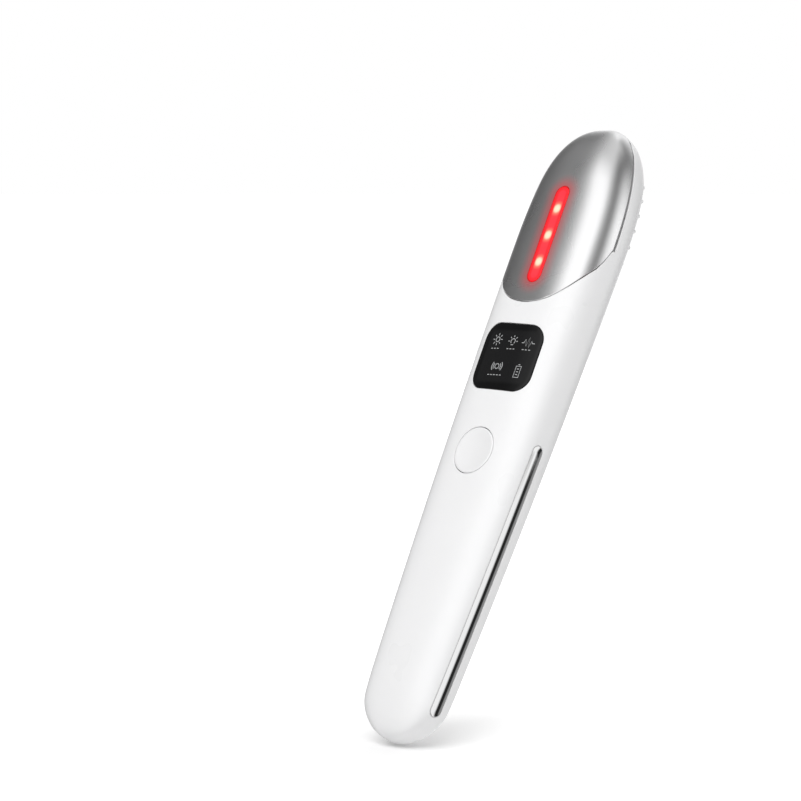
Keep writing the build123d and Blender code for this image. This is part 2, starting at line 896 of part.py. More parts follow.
with BuildPart() as control_chip:
    with BuildSketch(Plane.XZ.offset(-board_front_y)):
        with Locations((0, button_height - chip_drop)):
            Rectangle(chip_size, chip_size)
    extrude(amount=chip_height)
finish(control_chip, "control_chip")

with BuildPart() as pulse_transformer:
    with BuildSketch(Plane.XZ.offset(-board_back_y)):
        with Locations((0, port_height - coil_drop)):
            RectangleRounded(coil_width, coil_length, 1.0)
    extrude(amount=-coil_height)
finish(pulse_transformer, "pulse_transformer")

with BuildPart() as buzzer:
    with BuildSketch(Plane.XZ.offset(-board_back_y)):
        with Locations((0, port_height - buzzer_drop)):
            Circle(buzzer_radius)
    extrude(amount=-buzzer_height)
finish(buzzer, "buzzer")

ribbon_front_y = board_front_y - ribbon_thickness / 2
ribbon_back_y = led_board_back_y + ribbon_thickness / 2
led_board_bottom = slot_height - led_board_half_length
with BuildPart() as head_ribbon:
    with BuildSketch(Plane.YZ.offset(-ribbon_width / 2)):
        with BuildLine() as ribbon_path:
            Polyline(
                (ribbon_front_y, board_top - ribbon_pad),
                (ribbon_front_y, board_top + ribbon_thickness),
                (ribbon_back_y, led_board_bottom - ribbon_thickness),
                (ribbon_back_y, led_board_bottom + ribbon_pad),
            )
        trace(line_width=ribbon_thickness)
    extrude(amount=ribbon_width)
finish(head_ribbon, "head_ribbon")

# ---- Chassis: slides into the housing and holds the board and the battery ----
rail_inner_x = battery_half_width + rail_gap
peg_tip_x = {
    peg_height: reach_at(strip_y, peg_height, wall) - peg_overhang
    for peg_height in peg_heights
}

with BuildPart() as chassis:
    with BuildSketch(Plane.XZ.offset(-chassis_back_y)):
        with Locations((0, (chassis_bottom + chassis_top) / 2)):
            Rectangle(2 * cut_reach, chassis_top - chassis_bottom)
    extrude(amount=chassis_thickness)
    # Rails on both sides of the battery.
    with BuildSketch(Plane.XZ.offset(-chassis_back_y)):
        with Locations((0, (battery_bottom + battery_top) / 2)):
            Rectangle(2 * cut_reach, battery_top - battery_bottom)
            Rectangle(2 * rail_inner_x, battery_top - battery_bottom, mode=Mode.SUBTRACT)
    extrude(amount=-(rail_back_y - chassis_back_y))
    add(body_form(wall + slide_gap), mode=Mode.INTERSECT)
    # Window for the tall parts on the back of the board.
    with BuildSketch(Plane.XZ.offset(-chassis_back_y)):
        with Locations((0, (chassis_window_bottom + chassis_window_top) / 2)):
            Rectangle(2 * chassis_window_half_width, chassis_window_top - chassis_window_bottom)
        # Slots for the battery tabs.
        for side in (-1, 1):
            with Locations((side * tab_x, battery_top + tab_rise)):
                Rectangle(tab_width + 2 * notch_margin, tab_thickness + 2 * notch_margin)
        # Notches for the strips' pegs and their contact springs.
        for side in (-1, 1):
            for peg_height in peg_heights:
                with Locations(
                    (side * (peg_tip_x[peg_height] - spring_set_back - notch_margin), peg_height)
                ):
                    Rectangle(
                        cut_reach,
                        spring_width + 2 * notch_margin,
                        align=(Align.MIN if side > 0 else Align.MAX, Align.CENTER),
                    )
    extrude(amount=chassis_thickness, mode=Mode.SUBTRACT)
finish(chassis, "chassis")

# ---- Battery, its foam and its solder tabs ----
battery_length = battery_top - battery_bottom
with BuildPart() as battery:
    with BuildSketch(Plane.XZ.offset(-chassis_back_y)):
        with Locations((0, battery_bottom + battery_length / 2)):
            Rectangle(2 * battery_half_width, battery_length)
    extrude(amount=-(battery_back_y - chassis_back_y))
    fillet(battery.edges().filter_by(Axis.Z), radius=foam_thickness)
finish(battery, "battery")

with BuildPart() as battery_foam:
    with BuildSketch(Plane.XZ.offset(-battery_back_y)):
        with Locations((0, battery_bottom + battery_length / 2)):
            Rectangle(battery_half_width, battery_length - 2 * foam_margin)
    extrude(amount=-foam_thickness)
finish(battery_foam, "battery_foam")

tab_y = (chassis_back_y + battery_back_y) / 2
with BuildPart() as battery_tabs:
    with BuildSketch(Plane.YZ.offset(tab_x - tab_width / 2)):
        with BuildLine():
            Polyline(
                (tab_y, battery_top),
                (tab_y, battery_top + tab_rise),
                (board_back_y, battery_top + tab_rise),
            )
        trace(line_width=tab_thickness)
    extrude(amount=tab_width)
    mirror(about=Plane.YZ)
finish(battery_tabs, "battery_tabs")

# ---- Charging socket on the back of the board ----
mouth_y = depth_at(0, port_height, socket_mouth_inset)
with BuildPart() as charging_socket:
    with BuildSketch(Plane.XZ.offset(-board_back_y)):
        with Locations((0, port_height)):
            SlotOverall(socket_width, socket_height)
    extrude(amount=-(mouth_y - board_back_y))
    with BuildSketch(Plane.XZ.offset(-mouth_y)):
        with Locations((0, port_height)):
            SlotOverall(socket_width - 2 * socket_wall, socket_height - 2 * socket_wall)
    extrude(amount=mouth_y - board_back_y - tongue_root, mode=Mode.SUBTRACT)
finish(charging_socket, "charging_socket")

with BuildPart() as socket_tongue:
    with BuildSketch(Plane.XZ.offset(-board_back_y - tongue_root)):
        with Locations((0, port_height)):
            Rectangle(tongue_board_width, tongue_board_thickness)
    extrude(amount=-(mouth_y - tongue_board_recess - board_back_y - tongue_root))
finish(socket_tongue, "socket_tongue")

# ---- Soft cover over the charging port ----
cover_lip_y = mouth_y - lip_depth + seat_gap
with BuildPart() as port_cover:
    with BuildSketch(Plane.XZ.offset(-port_backing_y)):
        with Locations((0, port_height)):
            RectangleRounded(2 * cover_half_width, cover_length, cover_corner)
    extrude(amount=-cut_reach)
    add(outer_form, mode=Mode.INTERSECT)
    add(body_form(cover_thickness), mode=Mode.SUBTRACT)
    with BuildSketch(Plane.XZ.offset(-cover_lip_y)):
        with Locations((0, port_height)):
            SlotOverall(
                socket_width - 2 * socket_wall - 2 * lip_clearance,
                socket_height - 2 * socket_wall - 2 * lip_clearance,
            )
    extrude(amount=-(depth_at(0, port_height, cover_thickness / 2) - cover_lip_y))
finish(port_cover, "port_cover")

# ---- Chrome strips in the side grooves, and the springs that touch their pegs ----
strip_back_form = body_form(strip_recess + strip_thickness)

with BuildPart() as right_strip:
    with BuildSketch(Plane.YZ.offset(strip_inner_x)):
        with Locations((strip_y, strip_middle)):
            SlotOverall(
                strip_length - 2 * strip_edge_gap, strip_width - 2 * strip_edge_gap, rotation=90
            )
    extrude(amount=cut_reach)
    add(strip_back_form, mode=Mode.SUBTRACT)
    for peg_height in peg_heights:
        with BuildSketch(Plane.YZ.offset(peg_tip_x[peg_height])):
            with Locations((strip_y, peg_height)):
                Circle(peg_radius)
        extrude(amount=wall + peg_overhang)
    add(body_form(strip_recess), mode=Mode.INTERSECT)
finish(right_strip, "right_strip")

with BuildPart() as left_strip:
    mirror(right_strip.part, about=Plane.YZ)
finish(left_strip, "left_strip")

spring_x = peg_tip_x[high_peg_height] - spring_thickness / 2
spring_front_y = board_front_y - spring_thickness / 2
with BuildPart() as contact_springs:
    with BuildSketch(Plane.XY.offset(high_peg_height - spring_width / 2)):
        for side in (-1, 1):
            with BuildLine():
                Polyline(
                    (side * (board_half_width - spring_pad), spring_front_y),
                    (side * (spring_x - spring_set_back), spring_front_y),
                    (side * spring_x, strip_y - peg_radius),
                    (side * spring_x, strip_y + peg_radius),
                )
            trace(line_width=spring_thickness)
    extrude(amount=spring_width)
finish(contact_springs, "contact_springs")
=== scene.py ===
"""Heated eye massager wand: its visible pieces, their finishes and a plain studio."""

import logging
import math
from contextlib import contextmanager
from dataclasses import dataclass, field
from enum import Enum
from typing import Callable, Iterator, Sequence

import bmesh
import bpy
from mathutils import Euler, Matrix, Vector


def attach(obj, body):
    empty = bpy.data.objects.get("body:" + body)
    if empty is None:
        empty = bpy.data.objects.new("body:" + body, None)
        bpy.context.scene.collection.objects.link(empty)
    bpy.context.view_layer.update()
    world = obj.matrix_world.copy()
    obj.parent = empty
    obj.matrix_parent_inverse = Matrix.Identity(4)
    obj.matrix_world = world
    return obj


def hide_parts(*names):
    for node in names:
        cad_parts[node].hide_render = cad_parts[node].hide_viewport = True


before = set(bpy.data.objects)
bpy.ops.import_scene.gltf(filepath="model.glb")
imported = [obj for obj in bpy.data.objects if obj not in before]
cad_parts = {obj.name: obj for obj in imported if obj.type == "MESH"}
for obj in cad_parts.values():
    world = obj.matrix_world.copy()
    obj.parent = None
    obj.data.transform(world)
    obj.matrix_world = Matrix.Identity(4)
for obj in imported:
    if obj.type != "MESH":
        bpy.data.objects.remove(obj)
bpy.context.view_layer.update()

LOG = logging.getLogger("massager_wand")
MM = 0.001
MERGE_DISTANCE = 2e-7
CREASE = 34.0
ROUND_CREASE = 60.0
Colour = tuple[float, float, float, float]
Point2 = tuple[float, float]
Level = tuple[float, float]
Stroke = tuple[list[Point2], bool]
WHITE: Colour = (0.90, 0.90, 0.905, 1.0)


def grey(level: float) -> Colour:
    """A neutral colour of one level."""
    return (level, level, level, 1.0)


class Side(Enum):
    """The sides of the wand that pieces are let into."""

    FRONT = "front"
    BACK = "back"
    RIGHT = "right"
    LEFT = "left"


# ---------------------------------------------------------------------------------------------
# The wand's form
# ---------------------------------------------------------------------------------------------


@dataclass(frozen=True)
class EndCurve:
    """How an outline closes at a tip: its length in millimetres and its superellipse power."""

    length: float
    power: float


@dataclass(frozen=True)
class WandForm:
    """The smooth outer form: superelliptic sections along the height. Sizes in millimetres."""

    length: float = 156.0
    power: float = 3.0
    stations: tuple[float, float, float] = (0.08, 0.50, 0.85)
    widths: tuple[float, float, float] = (22.3, 27.5, 28.5)
    depths: tuple[float, float, float] = (12.6, 15.2, 17.3)
    tail_front: EndCurve = EndCurve(9.1, 1.8)
    head_front: EndCurve = EndCurve(33.5, 2.4)
    tail_side: EndCurve = EndCurve(18.2, 2.6)
    head_side: EndCurve = EndCurve(16.8, 2.04)
    tip_reach: float = 1e-3
    tip_zone: float = 0.5
    slope_step: float = 0.01
    on_axis: float = 1e-9
    least_closing: float = 1e-12
    least_slope: float = 0.02

    def full_size(self, height: float, sizes: tuple[float, float, float]) -> float:
        """The parabola through the sizes at the three stations.

        Args:
            height: Height above the tail tip.
            sizes: The size at each station.

        Returns:
            The size at that height, before the ends close.
        """
        share = height / self.length
        total = 0.0
        for index, size in enumerate(sizes):
            weight = 1.0
            for other, station in enumerate(self.stations):
                if other != index:
                    weight *= (share - station) / (self.stations[index] - station)
            total += size * weight
        return total

    def closing(self, height: float, tail: EndCurve, head: EndCurve) -> float:
        """The share of the full size that is left at a height.

        Args:
            height: Height above the tail tip.
            tail: The curve that closes the tail.
            head: The curve that closes the head.

        Returns:
            A share from 0 at a tip to 1 between the ends.
        """
        if height < tail.length:
            reach, power = (tail.length - height) / tail.length, tail.power
        elif height > self.length - head.length:
            reach, power = (height - self.length + head.length) / head.length, head.power
        else:
            return 1.0
        return max(1.0 - min(reach, 1.0) ** power, self.least_closing) ** (1.0 / power)

    def half_width(self, height: float) -> float:
        """Half the width at a height."""
        return self.full_size(height, self.widths) / 2 * self.closing(
            height, self.tail_front, self.head_front
        )

    def half_depth(self, height: float) -> float:
        """Half the depth at a height."""
        return self.full_size(height, self.depths) / 2 * self.closing(
            height, self.tail_side, self.head_side
        )

    def depth_at(self, x: float, height: float) -> float:
        """Distance of the surface from the middle plane, at a side distance x."""
        share = min(abs(x) / self.half_width(height), 1.0)
        return self.half_depth(height) * (1.0 - share**self.power) ** (1.0 / self.power)

    def reach_at(self, y: float, height: float) -> float:
        """Side distance of the surface, at a distance y from the middle plane."""
        share = min(abs(y) / self.half_depth(height), 1.0)
        return self.half_width(height) * (1.0 - share**self.power) ** (1.0 / self.power)

    def section_point(self, turn: float, height: float) -> Vector:
        """A point of the section at a height, in the direction of a turn in radians."""
        across, along = math.cos(turn), math.sin(turn)
        size = (abs(across) ** self.power + abs(along) ** self.power) ** (-1.0 / self.power)
        return Vector(
            (self.half_width(height) * size * across, self.half_depth(height) * size * along, height)
        )

    def filling(self, point: Vector, height: float) -> float:
        """How far a point fills the section at a height: 0 in its middle and 1 on the surface."""
        across = (abs(point.x) / self.half_width(height)) ** self.power
        return across + (abs(point.y) / self.half_depth(height)) ** self.power

    def onto_section(self, point: Vector) -> Vector:
        """The place of the surface at a point's height, in the point's direction."""
        scale = self.filling(point, point.z) ** (-1.0 / self.power)
        return Vector((point.x * scale, point.y * scale, point.z))

    def normal(self, point: Vector) -> Vector:
        """The outward direction of the form's surface at a point on it or near it.

        Args:
            point: A place in millimetres.

        Returns:
            A unit vector.
        """
        height = min(max(point.z, 0.0), self.length)
        to_tip = min(height, self.length - height)
        if to_tip < self.tip_reach:
            return Vector((0.0, 0.0, -1.0 if height < self.length / 2 else 1.0))
        step = min(self.slope_step, to_tip / 4)
        width, depth = self.half_width(height), self.half_depth(height)
        widening = (self.half_width(height + step) - self.half_width(height - step)) / (2 * step)
        deepening = (self.half_depth(height + step) - self.half_depth(height - step)) / (2 * step)
        across, along = abs(point.x) / width, abs(point.y) / depth
        slope = Vector(
            (
                math.copysign(across ** (self.power - 1) / width, point.x),
                math.copysign(along ** (self.power - 1) / depth, point.y),
                -(across**self.power) * widening / width - along**self.power * deepening / depth,
            )
        )
        return slope.normalized()

    def rise(self, point: Vector) -> float:
        """How far a point lies above the surface, measured across it.

        Args:
            point: A place in millimetres.

        Returns:
            Millimetres, negative inside the form.
        """
        height = min(max(point.z, self.tip_reach), self.length - self.tip_reach)
        filling = self.filling(point, height)
        level = Vector((point.x, point.y, 0.0))
        if filling < self.on_axis:
            between_tips = self.tip_zone < height < self.length - self.tip_zone
            return -level.length if between_tips else point.z - height
        across = level.length * (1.0 - filling ** (-1.0 / self.power))
        return across * max(level.normalized().dot(self.normal(point)), self.least_slope)

    def place(self, side: Side, u: float, v: float, lift: float) -> Vector:
        """A place over the surface, in metres.

        Args:
            side: The side of the wand.
            u: Distance along X on the front and back, or along Y on the sides.
            v: Height above the tail tip.
            lift: Height over the surface.

        Returns:
            The point in metres.
        """
        if side in (Side.FRONT, Side.BACK):
            depth = self.depth_at(u, v)
            base = Vector((u, -depth if side is Side.FRONT else depth, v))
        else:
            reach = self.reach_at(u, v)
            base = Vector((reach if side is Side.RIGHT else -reach, u, v))
        return (base + self.normal(base) * lift) * MM


# ---------------------------------------------------------------------------------------------
# Outlines of what is let into the form
# ---------------------------------------------------------------------------------------------


class Outline:
    """A closed outline on a side of the wand."""

    def ring(self, offset: float, share: float = 1.0) -> list[Point2]:
        """Points round the outline.

        Args:
            offset: How far outside the outline they lie.
            share: How far they are from the middle, as a share of that.

        Returns:
            The same number of points for each offset and share, in the same order.
        """
        raise NotImplementedError


@dataclass(frozen=True)
class Oval(Outline):
    """An ellipse or a circle."""

    height: float
    half_width: float
    half_length: float
    points: int = 96

    def ring(self, offset: float, share: float = 1.0) -> list[Point2]:
        """Points round the ellipse. Args and Returns are as in Outline."""
        places = []
        for index in range(self.points):
            turn = 2 * math.pi * index / self.points
            u = (self.half_width + offset) * share * math.cos(turn)
            v = (self.half_length + offset) * share * math.sin(turn)
            places.append((u, self.height + v))
        return places


@dataclass(frozen=True)
class RoundedBox(Outline):
    """A rectangle with rounded corners; its lean is its rise for each millimetre to the left."""

    height: float
    half_width: float
    half_length: float
    corner: float
    lean: float = 0.0
    corner_points: int = 10
    side_points: int = 8

    def corner_place(self, side_u: int, side_v: int, degrees: float, offset: float) -> Point2:
        """A point of a rounded corner.

        Args:
            side_u: The corner's side across, 1 or -1.
            side_v: The corner's side upwards, 1 or -1.
            degrees: Direction of the point from the corner's centre.
            offset: How far outside the outline it lies.

        Returns:
            The point, from the rectangle's middle.
        """
        turn = math.radians(degrees)
        radius = self.corner + offset
        return (
            side_u * (self.half_width - self.corner) + radius * math.cos(turn),
            side_v * (self.half_length - self.corner) + radius * math.sin(turn),
        )

    def ring(self, offset: float, share: float = 1.0) -> list[Point2]:
        """Points round the rectangle. Args and Returns are as in Outline."""
        corners = ((1, 1, 0), (-1, 1, 90), (-1, -1, 180), (1, -1, 270))
        places = []
        for index, (side_u, side_v, start) in enumerate(corners):
            for step in range(self.corner_points + 1):
                degrees = start + 90 * step / self.corner_points
                places.append(self.corner_place(side_u, side_v, degrees, offset))
            last = places[-1]
            next_u, next_v, next_start = corners[(index + 1) % 4]
            target = self.corner_place(next_u, next_v, next_start or 360, offset)
            for step in range(1, self.side_points):
                part = step / self.side_points
                places.append(
                    (last[0] + (target[0] - last[0]) * part, last[1] + (target[1] - last[1]) * part)
                )
        return [(u * share, self.height + (v - self.lean * u) * share) for u, v in places]


@dataclass(frozen=True)
class Slot(Outline):
    """A long slot with round ends, standing upright."""

    bottom: float
    top: float
    half_width: float
    middle: float = 0.0
    end_points: int = 14
    side_points: int = 20

    def ring(self, offset: float, share: float = 1.0) -> list[Point2]:
        """Points round the slot; a share of 0 is its middle line. Args are as in Outline."""
        radius = (self.half_width + offset) * share
        low, high = self.bottom + self.half_width, self.top - self.half_width
        places = []
        for start, end, turn in ((high, low, 0.0), (low, high, math.pi)):
            for step in range(self.end_points):
                angle = turn + math.pi * step / self.end_points
                places.append(
                    (self.middle + radius * math.cos(angle), start + radius * math.sin(angle))
                )
            side = radius if turn else -radius
            for step in range(self.side_points):
                part = step / self.side_points
                places.append((self.middle + side, start + (end - start) * part))
        return places


# ---------------------------------------------------------------------------------------------
# Modelling moves
# ---------------------------------------------------------------------------------------------


class Bench:
    """The modelling moves that the pieces share."""

    @staticmethod
    def clear() -> None:
        """Deselect everything, in object mode."""
        if bpy.context.object and bpy.context.object.mode != "OBJECT":
            bpy.ops.object.mode_set(mode="OBJECT")
        bpy.ops.object.select_all(action="DESELECT")

    @staticmethod
    def take(piece: bpy.types.Object) -> None:
        """Make one piece the only one selected."""
        Bench.clear()
        piece.select_set(True)
        bpy.context.view_layer.objects.active = piece

    @staticmethod
    @contextmanager
    def editing(piece: bpy.types.Object) -> Iterator[None]:
        """Keep a piece in edit mode for a while."""
        Bench.take(piece)
        bpy.ops.object.mode_set(mode="EDIT")
        yield
        bpy.ops.object.mode_set(mode="OBJECT")

    @staticmethod
    def pick_faces(piece: bpy.types.Object, wanted: Callable[[Vector], bool]) -> None:
        """Select the faces whose middle passes a test, in edit mode.

        Args:
            piece: The piece in edit mode.
            wanted: The test of a face's middle, in millimetres.
        """
        bpy.ops.mesh.select_mode(type="FACE")
        bpy.ops.mesh.select_all(action="DESELECT")
        shape = bmesh.from_edit_mesh(piece.data)
        for face in shape.faces:
            if wanted(face.calc_center_median() / MM):
                face.select_set(True)
        bmesh.update_edit_mesh(piece.data)

    @staticmethod
    def apply(piece: bpy.types.Object, kind: str, **settings: object) -> None:
        """Add a modifier and apply it.

        Args:
            piece: The piece that it changes.
            kind: The modifier's type.
            **settings: Values of the modifier's settings.
        """
        Bench.take(piece)
        modifier = piece.modifiers.new(kind.title(), kind)
        for name, value in settings.items():
            setattr(modifier, name, value)
        bpy.ops.object.modifier_apply(modifier=modifier.name)

    @staticmethod
    def tidy(piece: bpy.types.Object) -> None:
        """Merge doubles and turn the faces outwards."""
        with Bench.editing(piece):
            bpy.ops.mesh.select_mode(type="VERT")
            bpy.ops.mesh.select_all(action="SELECT")
            bpy.ops.mesh.remove_doubles(threshold=MERGE_DISTANCE)
            bpy.ops.mesh.normals_make_consistent(inside=False)

    @staticmethod
    def smooth(piece: bpy.types.Object, crease: float = CREASE) -> None:
        """Shade smooth, but for edges sharper than a crease in degrees."""
        Bench.take(piece)
        bpy.ops.object.shade_smooth_by_angle(angle=math.radians(crease))

    @staticmethod
    def join(pieces: Sequence[bpy.types.Object]) -> None:
        """Join pieces into the first one."""
        Bench.clear()
        for piece in pieces:
            piece.select_set(True)
        bpy.context.view_layer.objects.active = pieces[0]
        bpy.ops.object.join()

    @staticmethod
    def discard(piece: bpy.types.Object) -> None:
        """Remove a helper that has done its work."""
        mesh = piece.data
        bpy.data.objects.remove(piece)
        bpy.data.meshes.remove(mesh)

    @staticmethod
    def through_rings(
        name: str, rings: Sequence[Sequence[Vector]], zipped: bool = False
    ) -> bpy.types.Object:
        """A closed solid: a disc that is extruded from ring to ring.

        Args:
            name: Name of the new piece.
            rings: Rings of places in metres, each with the same number.
            zipped: The first and last ring lie on a line, and close along it.

        Returns:
            The new object.
        """
        Bench.clear()
        bpy.ops.mesh.primitive_circle_add(vertices=len(rings[0]), fill_type="NGON")
        piece = bpy.context.object
        piece.name = piece.data.name = name
        for vertex, place in zip(piece.data.vertices, rings[0]):
            vertex.co = place
        with Bench.editing(piece):
            bpy.ops.mesh.select_mode(type="FACE")
            bpy.ops.mesh.select_all(action="SELECT")
            layer = bmesh.from_edit_mesh(piece.data).verts.layers.int.new("place")
            shape = bmesh.from_edit_mesh(piece.data)
            shape.verts.ensure_lookup_table()
            for vertex in shape.verts:
                vertex[layer] = vertex.index
            for ring in rings[1:]:
                bpy.ops.mesh.extrude_region_move()
                shape = bmesh.from_edit_mesh(piece.data)
                layer = shape.verts.layers.int["place"]
                for vertex in shape.verts:
                    if vertex.select:
                        vertex.co = ring[vertex[layer]]
            bmesh.update_edit_mesh(piece.data)
            if zipped:
                bpy.ops.mesh.select_all(action="DESELECT")
                shape = bmesh.from_edit_mesh(piece.data)
                for face in shape.faces:
                    face.select_set(len(face.verts) > 4)
                bmesh.update_edit_mesh(piece.data)
                bpy.ops.mesh.delete(type="ONLY_FACE")
        Bench.tidy(piece)
        return piece


@dataclass(frozen=True)
class Seat:
    """A seat for an inset piece: its gap outside the outline, rounded edge and depth."""

    gap: float
    edge: float
    depth: float
    rings: int = 4


@dataclass(frozen=True)
class Plate:
    """An inset piece: its gap inside the outline, rounded edge, thickness and rings of faces."""

    gap: float
    edge: float
    thickness: float
    rings: int


def level_face(_share: float) -> float:
    """The lift of a face that follows the form."""
    return 0.0


def rounded(edge: float, turns: Sequence[int]) -> Iterator[tuple[float, float]]:
    """Steps round a rounded edge.

    Args:
        edge: Its radius.
        turns: Degrees of each step, 90 at the wall and 0 at the face.

    Yields:
        How far a step lies from the wall and from the face.
    """
    for turn in turns:
        angle = math.radians(turn)
        yield edge * (1 - math.sin(angle)), edge * (1 - math.cos(angle))


@dataclass(frozen=True)
class Inset:
    """An outline on the form, for the piece let in there and the tool that cuts its seat."""

    form: WandForm
    side: Side
    outline: Outline
    centre_share: float = 0.02
    seat_turns: tuple[int, ...] = (90, 68, 46, 26)
    seat_mouth: tuple[float, float] = (1.15, 0.03)
    seat_top: tuple[float, float] = (1.6, 1.2)
    plate_turns: tuple[int, ...] = (90, 66, 44, 22, 0)
    plate_back_rings: int = 4

    def solid(self, name: str, profile: Sequence[tuple[float, float, float]]) -> bpy.types.Object:
        """A closed solid through rings over the outline.

        Args:
            name: Name of the solid.
            profile: Each ring's offset, share and lift.

        Returns:
            The new object.
        """
        rings = [
            [self.form.place(self.side, u, v, lift) for u, v in self.outline.ring(offset, share)]
            for offset, share, lift in profile
        ]
        return Bench.through_rings(name, rings, isinstance(self.outline, Slot))

    def shares(self, rings: int) -> list[float]:
        """Shares of rings from the middle outwards, without the outline itself."""
        first = 0.0 if isinstance(self.outline, Slot) else self.centre_share
        return [first + (1.0 - first) * index / rings for index in range(rings)]

    def cutter(self, seat: Seat) -> bpy.types.Object:
        """The tool that cuts a seat with a rounded edge.

        Args:
            seat: The seat's sizes.

        Returns:
            A closed solid.
        """
        shares = self.shares(seat.rings)
        profile = [(seat.gap, share, -seat.depth) for share in (*shares, 1.0)]
        for across, down in rounded(seat.edge, self.seat_turns):
            profile.append((seat.gap + across, 1.0, -down))
        for flare, lift in (self.seat_mouth, self.seat_top):
            profile.append((seat.gap + seat.edge * flare, 1.0, lift))
        flare, lift = self.seat_top
        profile += [(seat.gap + seat.edge * flare, share, lift) for share in reversed(shares)]
        return self.solid("seat_cutter", profile)

    def piece(
        self, name: str, plate: Plate, crown: Callable[[float], float] = level_face
    ) -> bpy.types.Object:
        """A piece that follows the form, with a rounded edge.

        Args:
            name: Name of the piece.
            plate: The piece's sizes.
            crown: Lift of its face at a share of the way from its middle to its edge.

        Returns:
            The new object.
        """
        shares = self.shares(self.plate_back_rings)
        profile = [(-plate.gap, share, -plate.thickness) for share in (*shares, 1.0)]
        rim = crown(1.0)
        for across, down in rounded(plate.edge, self.plate_turns):
            profile.append((-plate.gap - across, 1.0, rim - down))
        for share in reversed(self.shares(plate.rings)):
            profile.append((-plate.gap - plate.edge, share, crown(share)))
        piece = self.solid(name, profile)
        Bench.smooth(piece)
        return piece


@dataclass(frozen=True)
class HeadSeam:
    """Where the silver cap meets the shell: an arch in front, a slant at the sides. Millimetres."""

    front_edge: float = 106.4
    side_edge: float = 124.1
    edge_y: float = -0.55
    arch_half_width: float = 15.2
    arch_height: float = 18.0
    slant_y: float = -4.0
    slant_edge: float = 115.8
    corner: float = 2.6
    shadow_gap: float = 0.75
    seam_gap: float = 0.12
    arch_share: float = 0.995

    @property
    def slope(self) -> float:
        """Rise of the slanting seam for each millimetre backwards."""
        return (self.side_edge - self.slant_edge) / (self.edge_y - self.slant_y)

    def wall_y(self, cap: bool) -> float:
        """Place of the shadow gap's wall, on the cap or on the shell."""
        return self.edge_y if cap else self.edge_y + self.shadow_gap

    def rise(self, cap: bool, place: Vector) -> tuple[float, Vector]:
        """How high a place lies over the edge, and the way that rise grows.

        Args:
            cap: Whether the edge is the cap's.
            place: A place in millimetres.

        Returns:
            The rise straight up, and its gradient.
        """
        inset = self.seam_gap if cap else 0.0
        half_width, height = self.arch_half_width - inset, self.arch_height - inset
        share = min(abs(place.x) / half_width, self.arch_share)
        left = math.sqrt(1.0 - share**2)
        arch = self.front_edge + self.arch_height - height * left
        slant = self.side_edge + self.slope * (inset + min(place.y - self.edge_y, 0.0))
        part = min(max(0.5 + 0.5 * (slant - arch) / self.corner, 0.0), 1.0)
        edge = arch + (slant - arch) * part + self.corner * part * (1.0 - part)
        arch_slope = math.copysign(height * share / left / half_width, place.x)
        slant_slope = self.slope if place.y < self.edge_y else 0.0
        gradient = Vector((-arch_slope * (1.0 - part), -slant_slope * part, 1.0))
        return place.z - edge, gradient

    def kept(self, cap: bool, place: Vector) -> bool:
        """Whether a place belongs to the cap, or to the shell."""
        above = self.rise(cap, place)[0] > 0.0
        if cap:
            return above and place.y < self.wall_y(cap)
        return not above or place.y > self.wall_y(cap)

    def nearest(self, cap: bool, place: Vector) -> tuple[float, Vector]:
        """The nearest part of the edge.

        Args:
            cap: Whether the edge is the cap's.
            place: A place in millimetres on the kept side.

        Returns:
            The distance, and the direction from the edge to the place.
        """
        over, gradient = self.rise(cap, place)
        level = over / gradient.length
        behind = place.y - self.wall_y(cap)
        if cap:
            if -behind < level:
                return max(-behind, 0.0), Vector((0.0, -1.0, 0.0))
            return max(level, 0.0), gradient.normalized()
        if behind <= 0.0:
            return max(-level, 0.0), -gradient.normalized()
        corner = Vector((0.0, behind, min(over, 0.0)))
        return corner.length, corner.normalized()


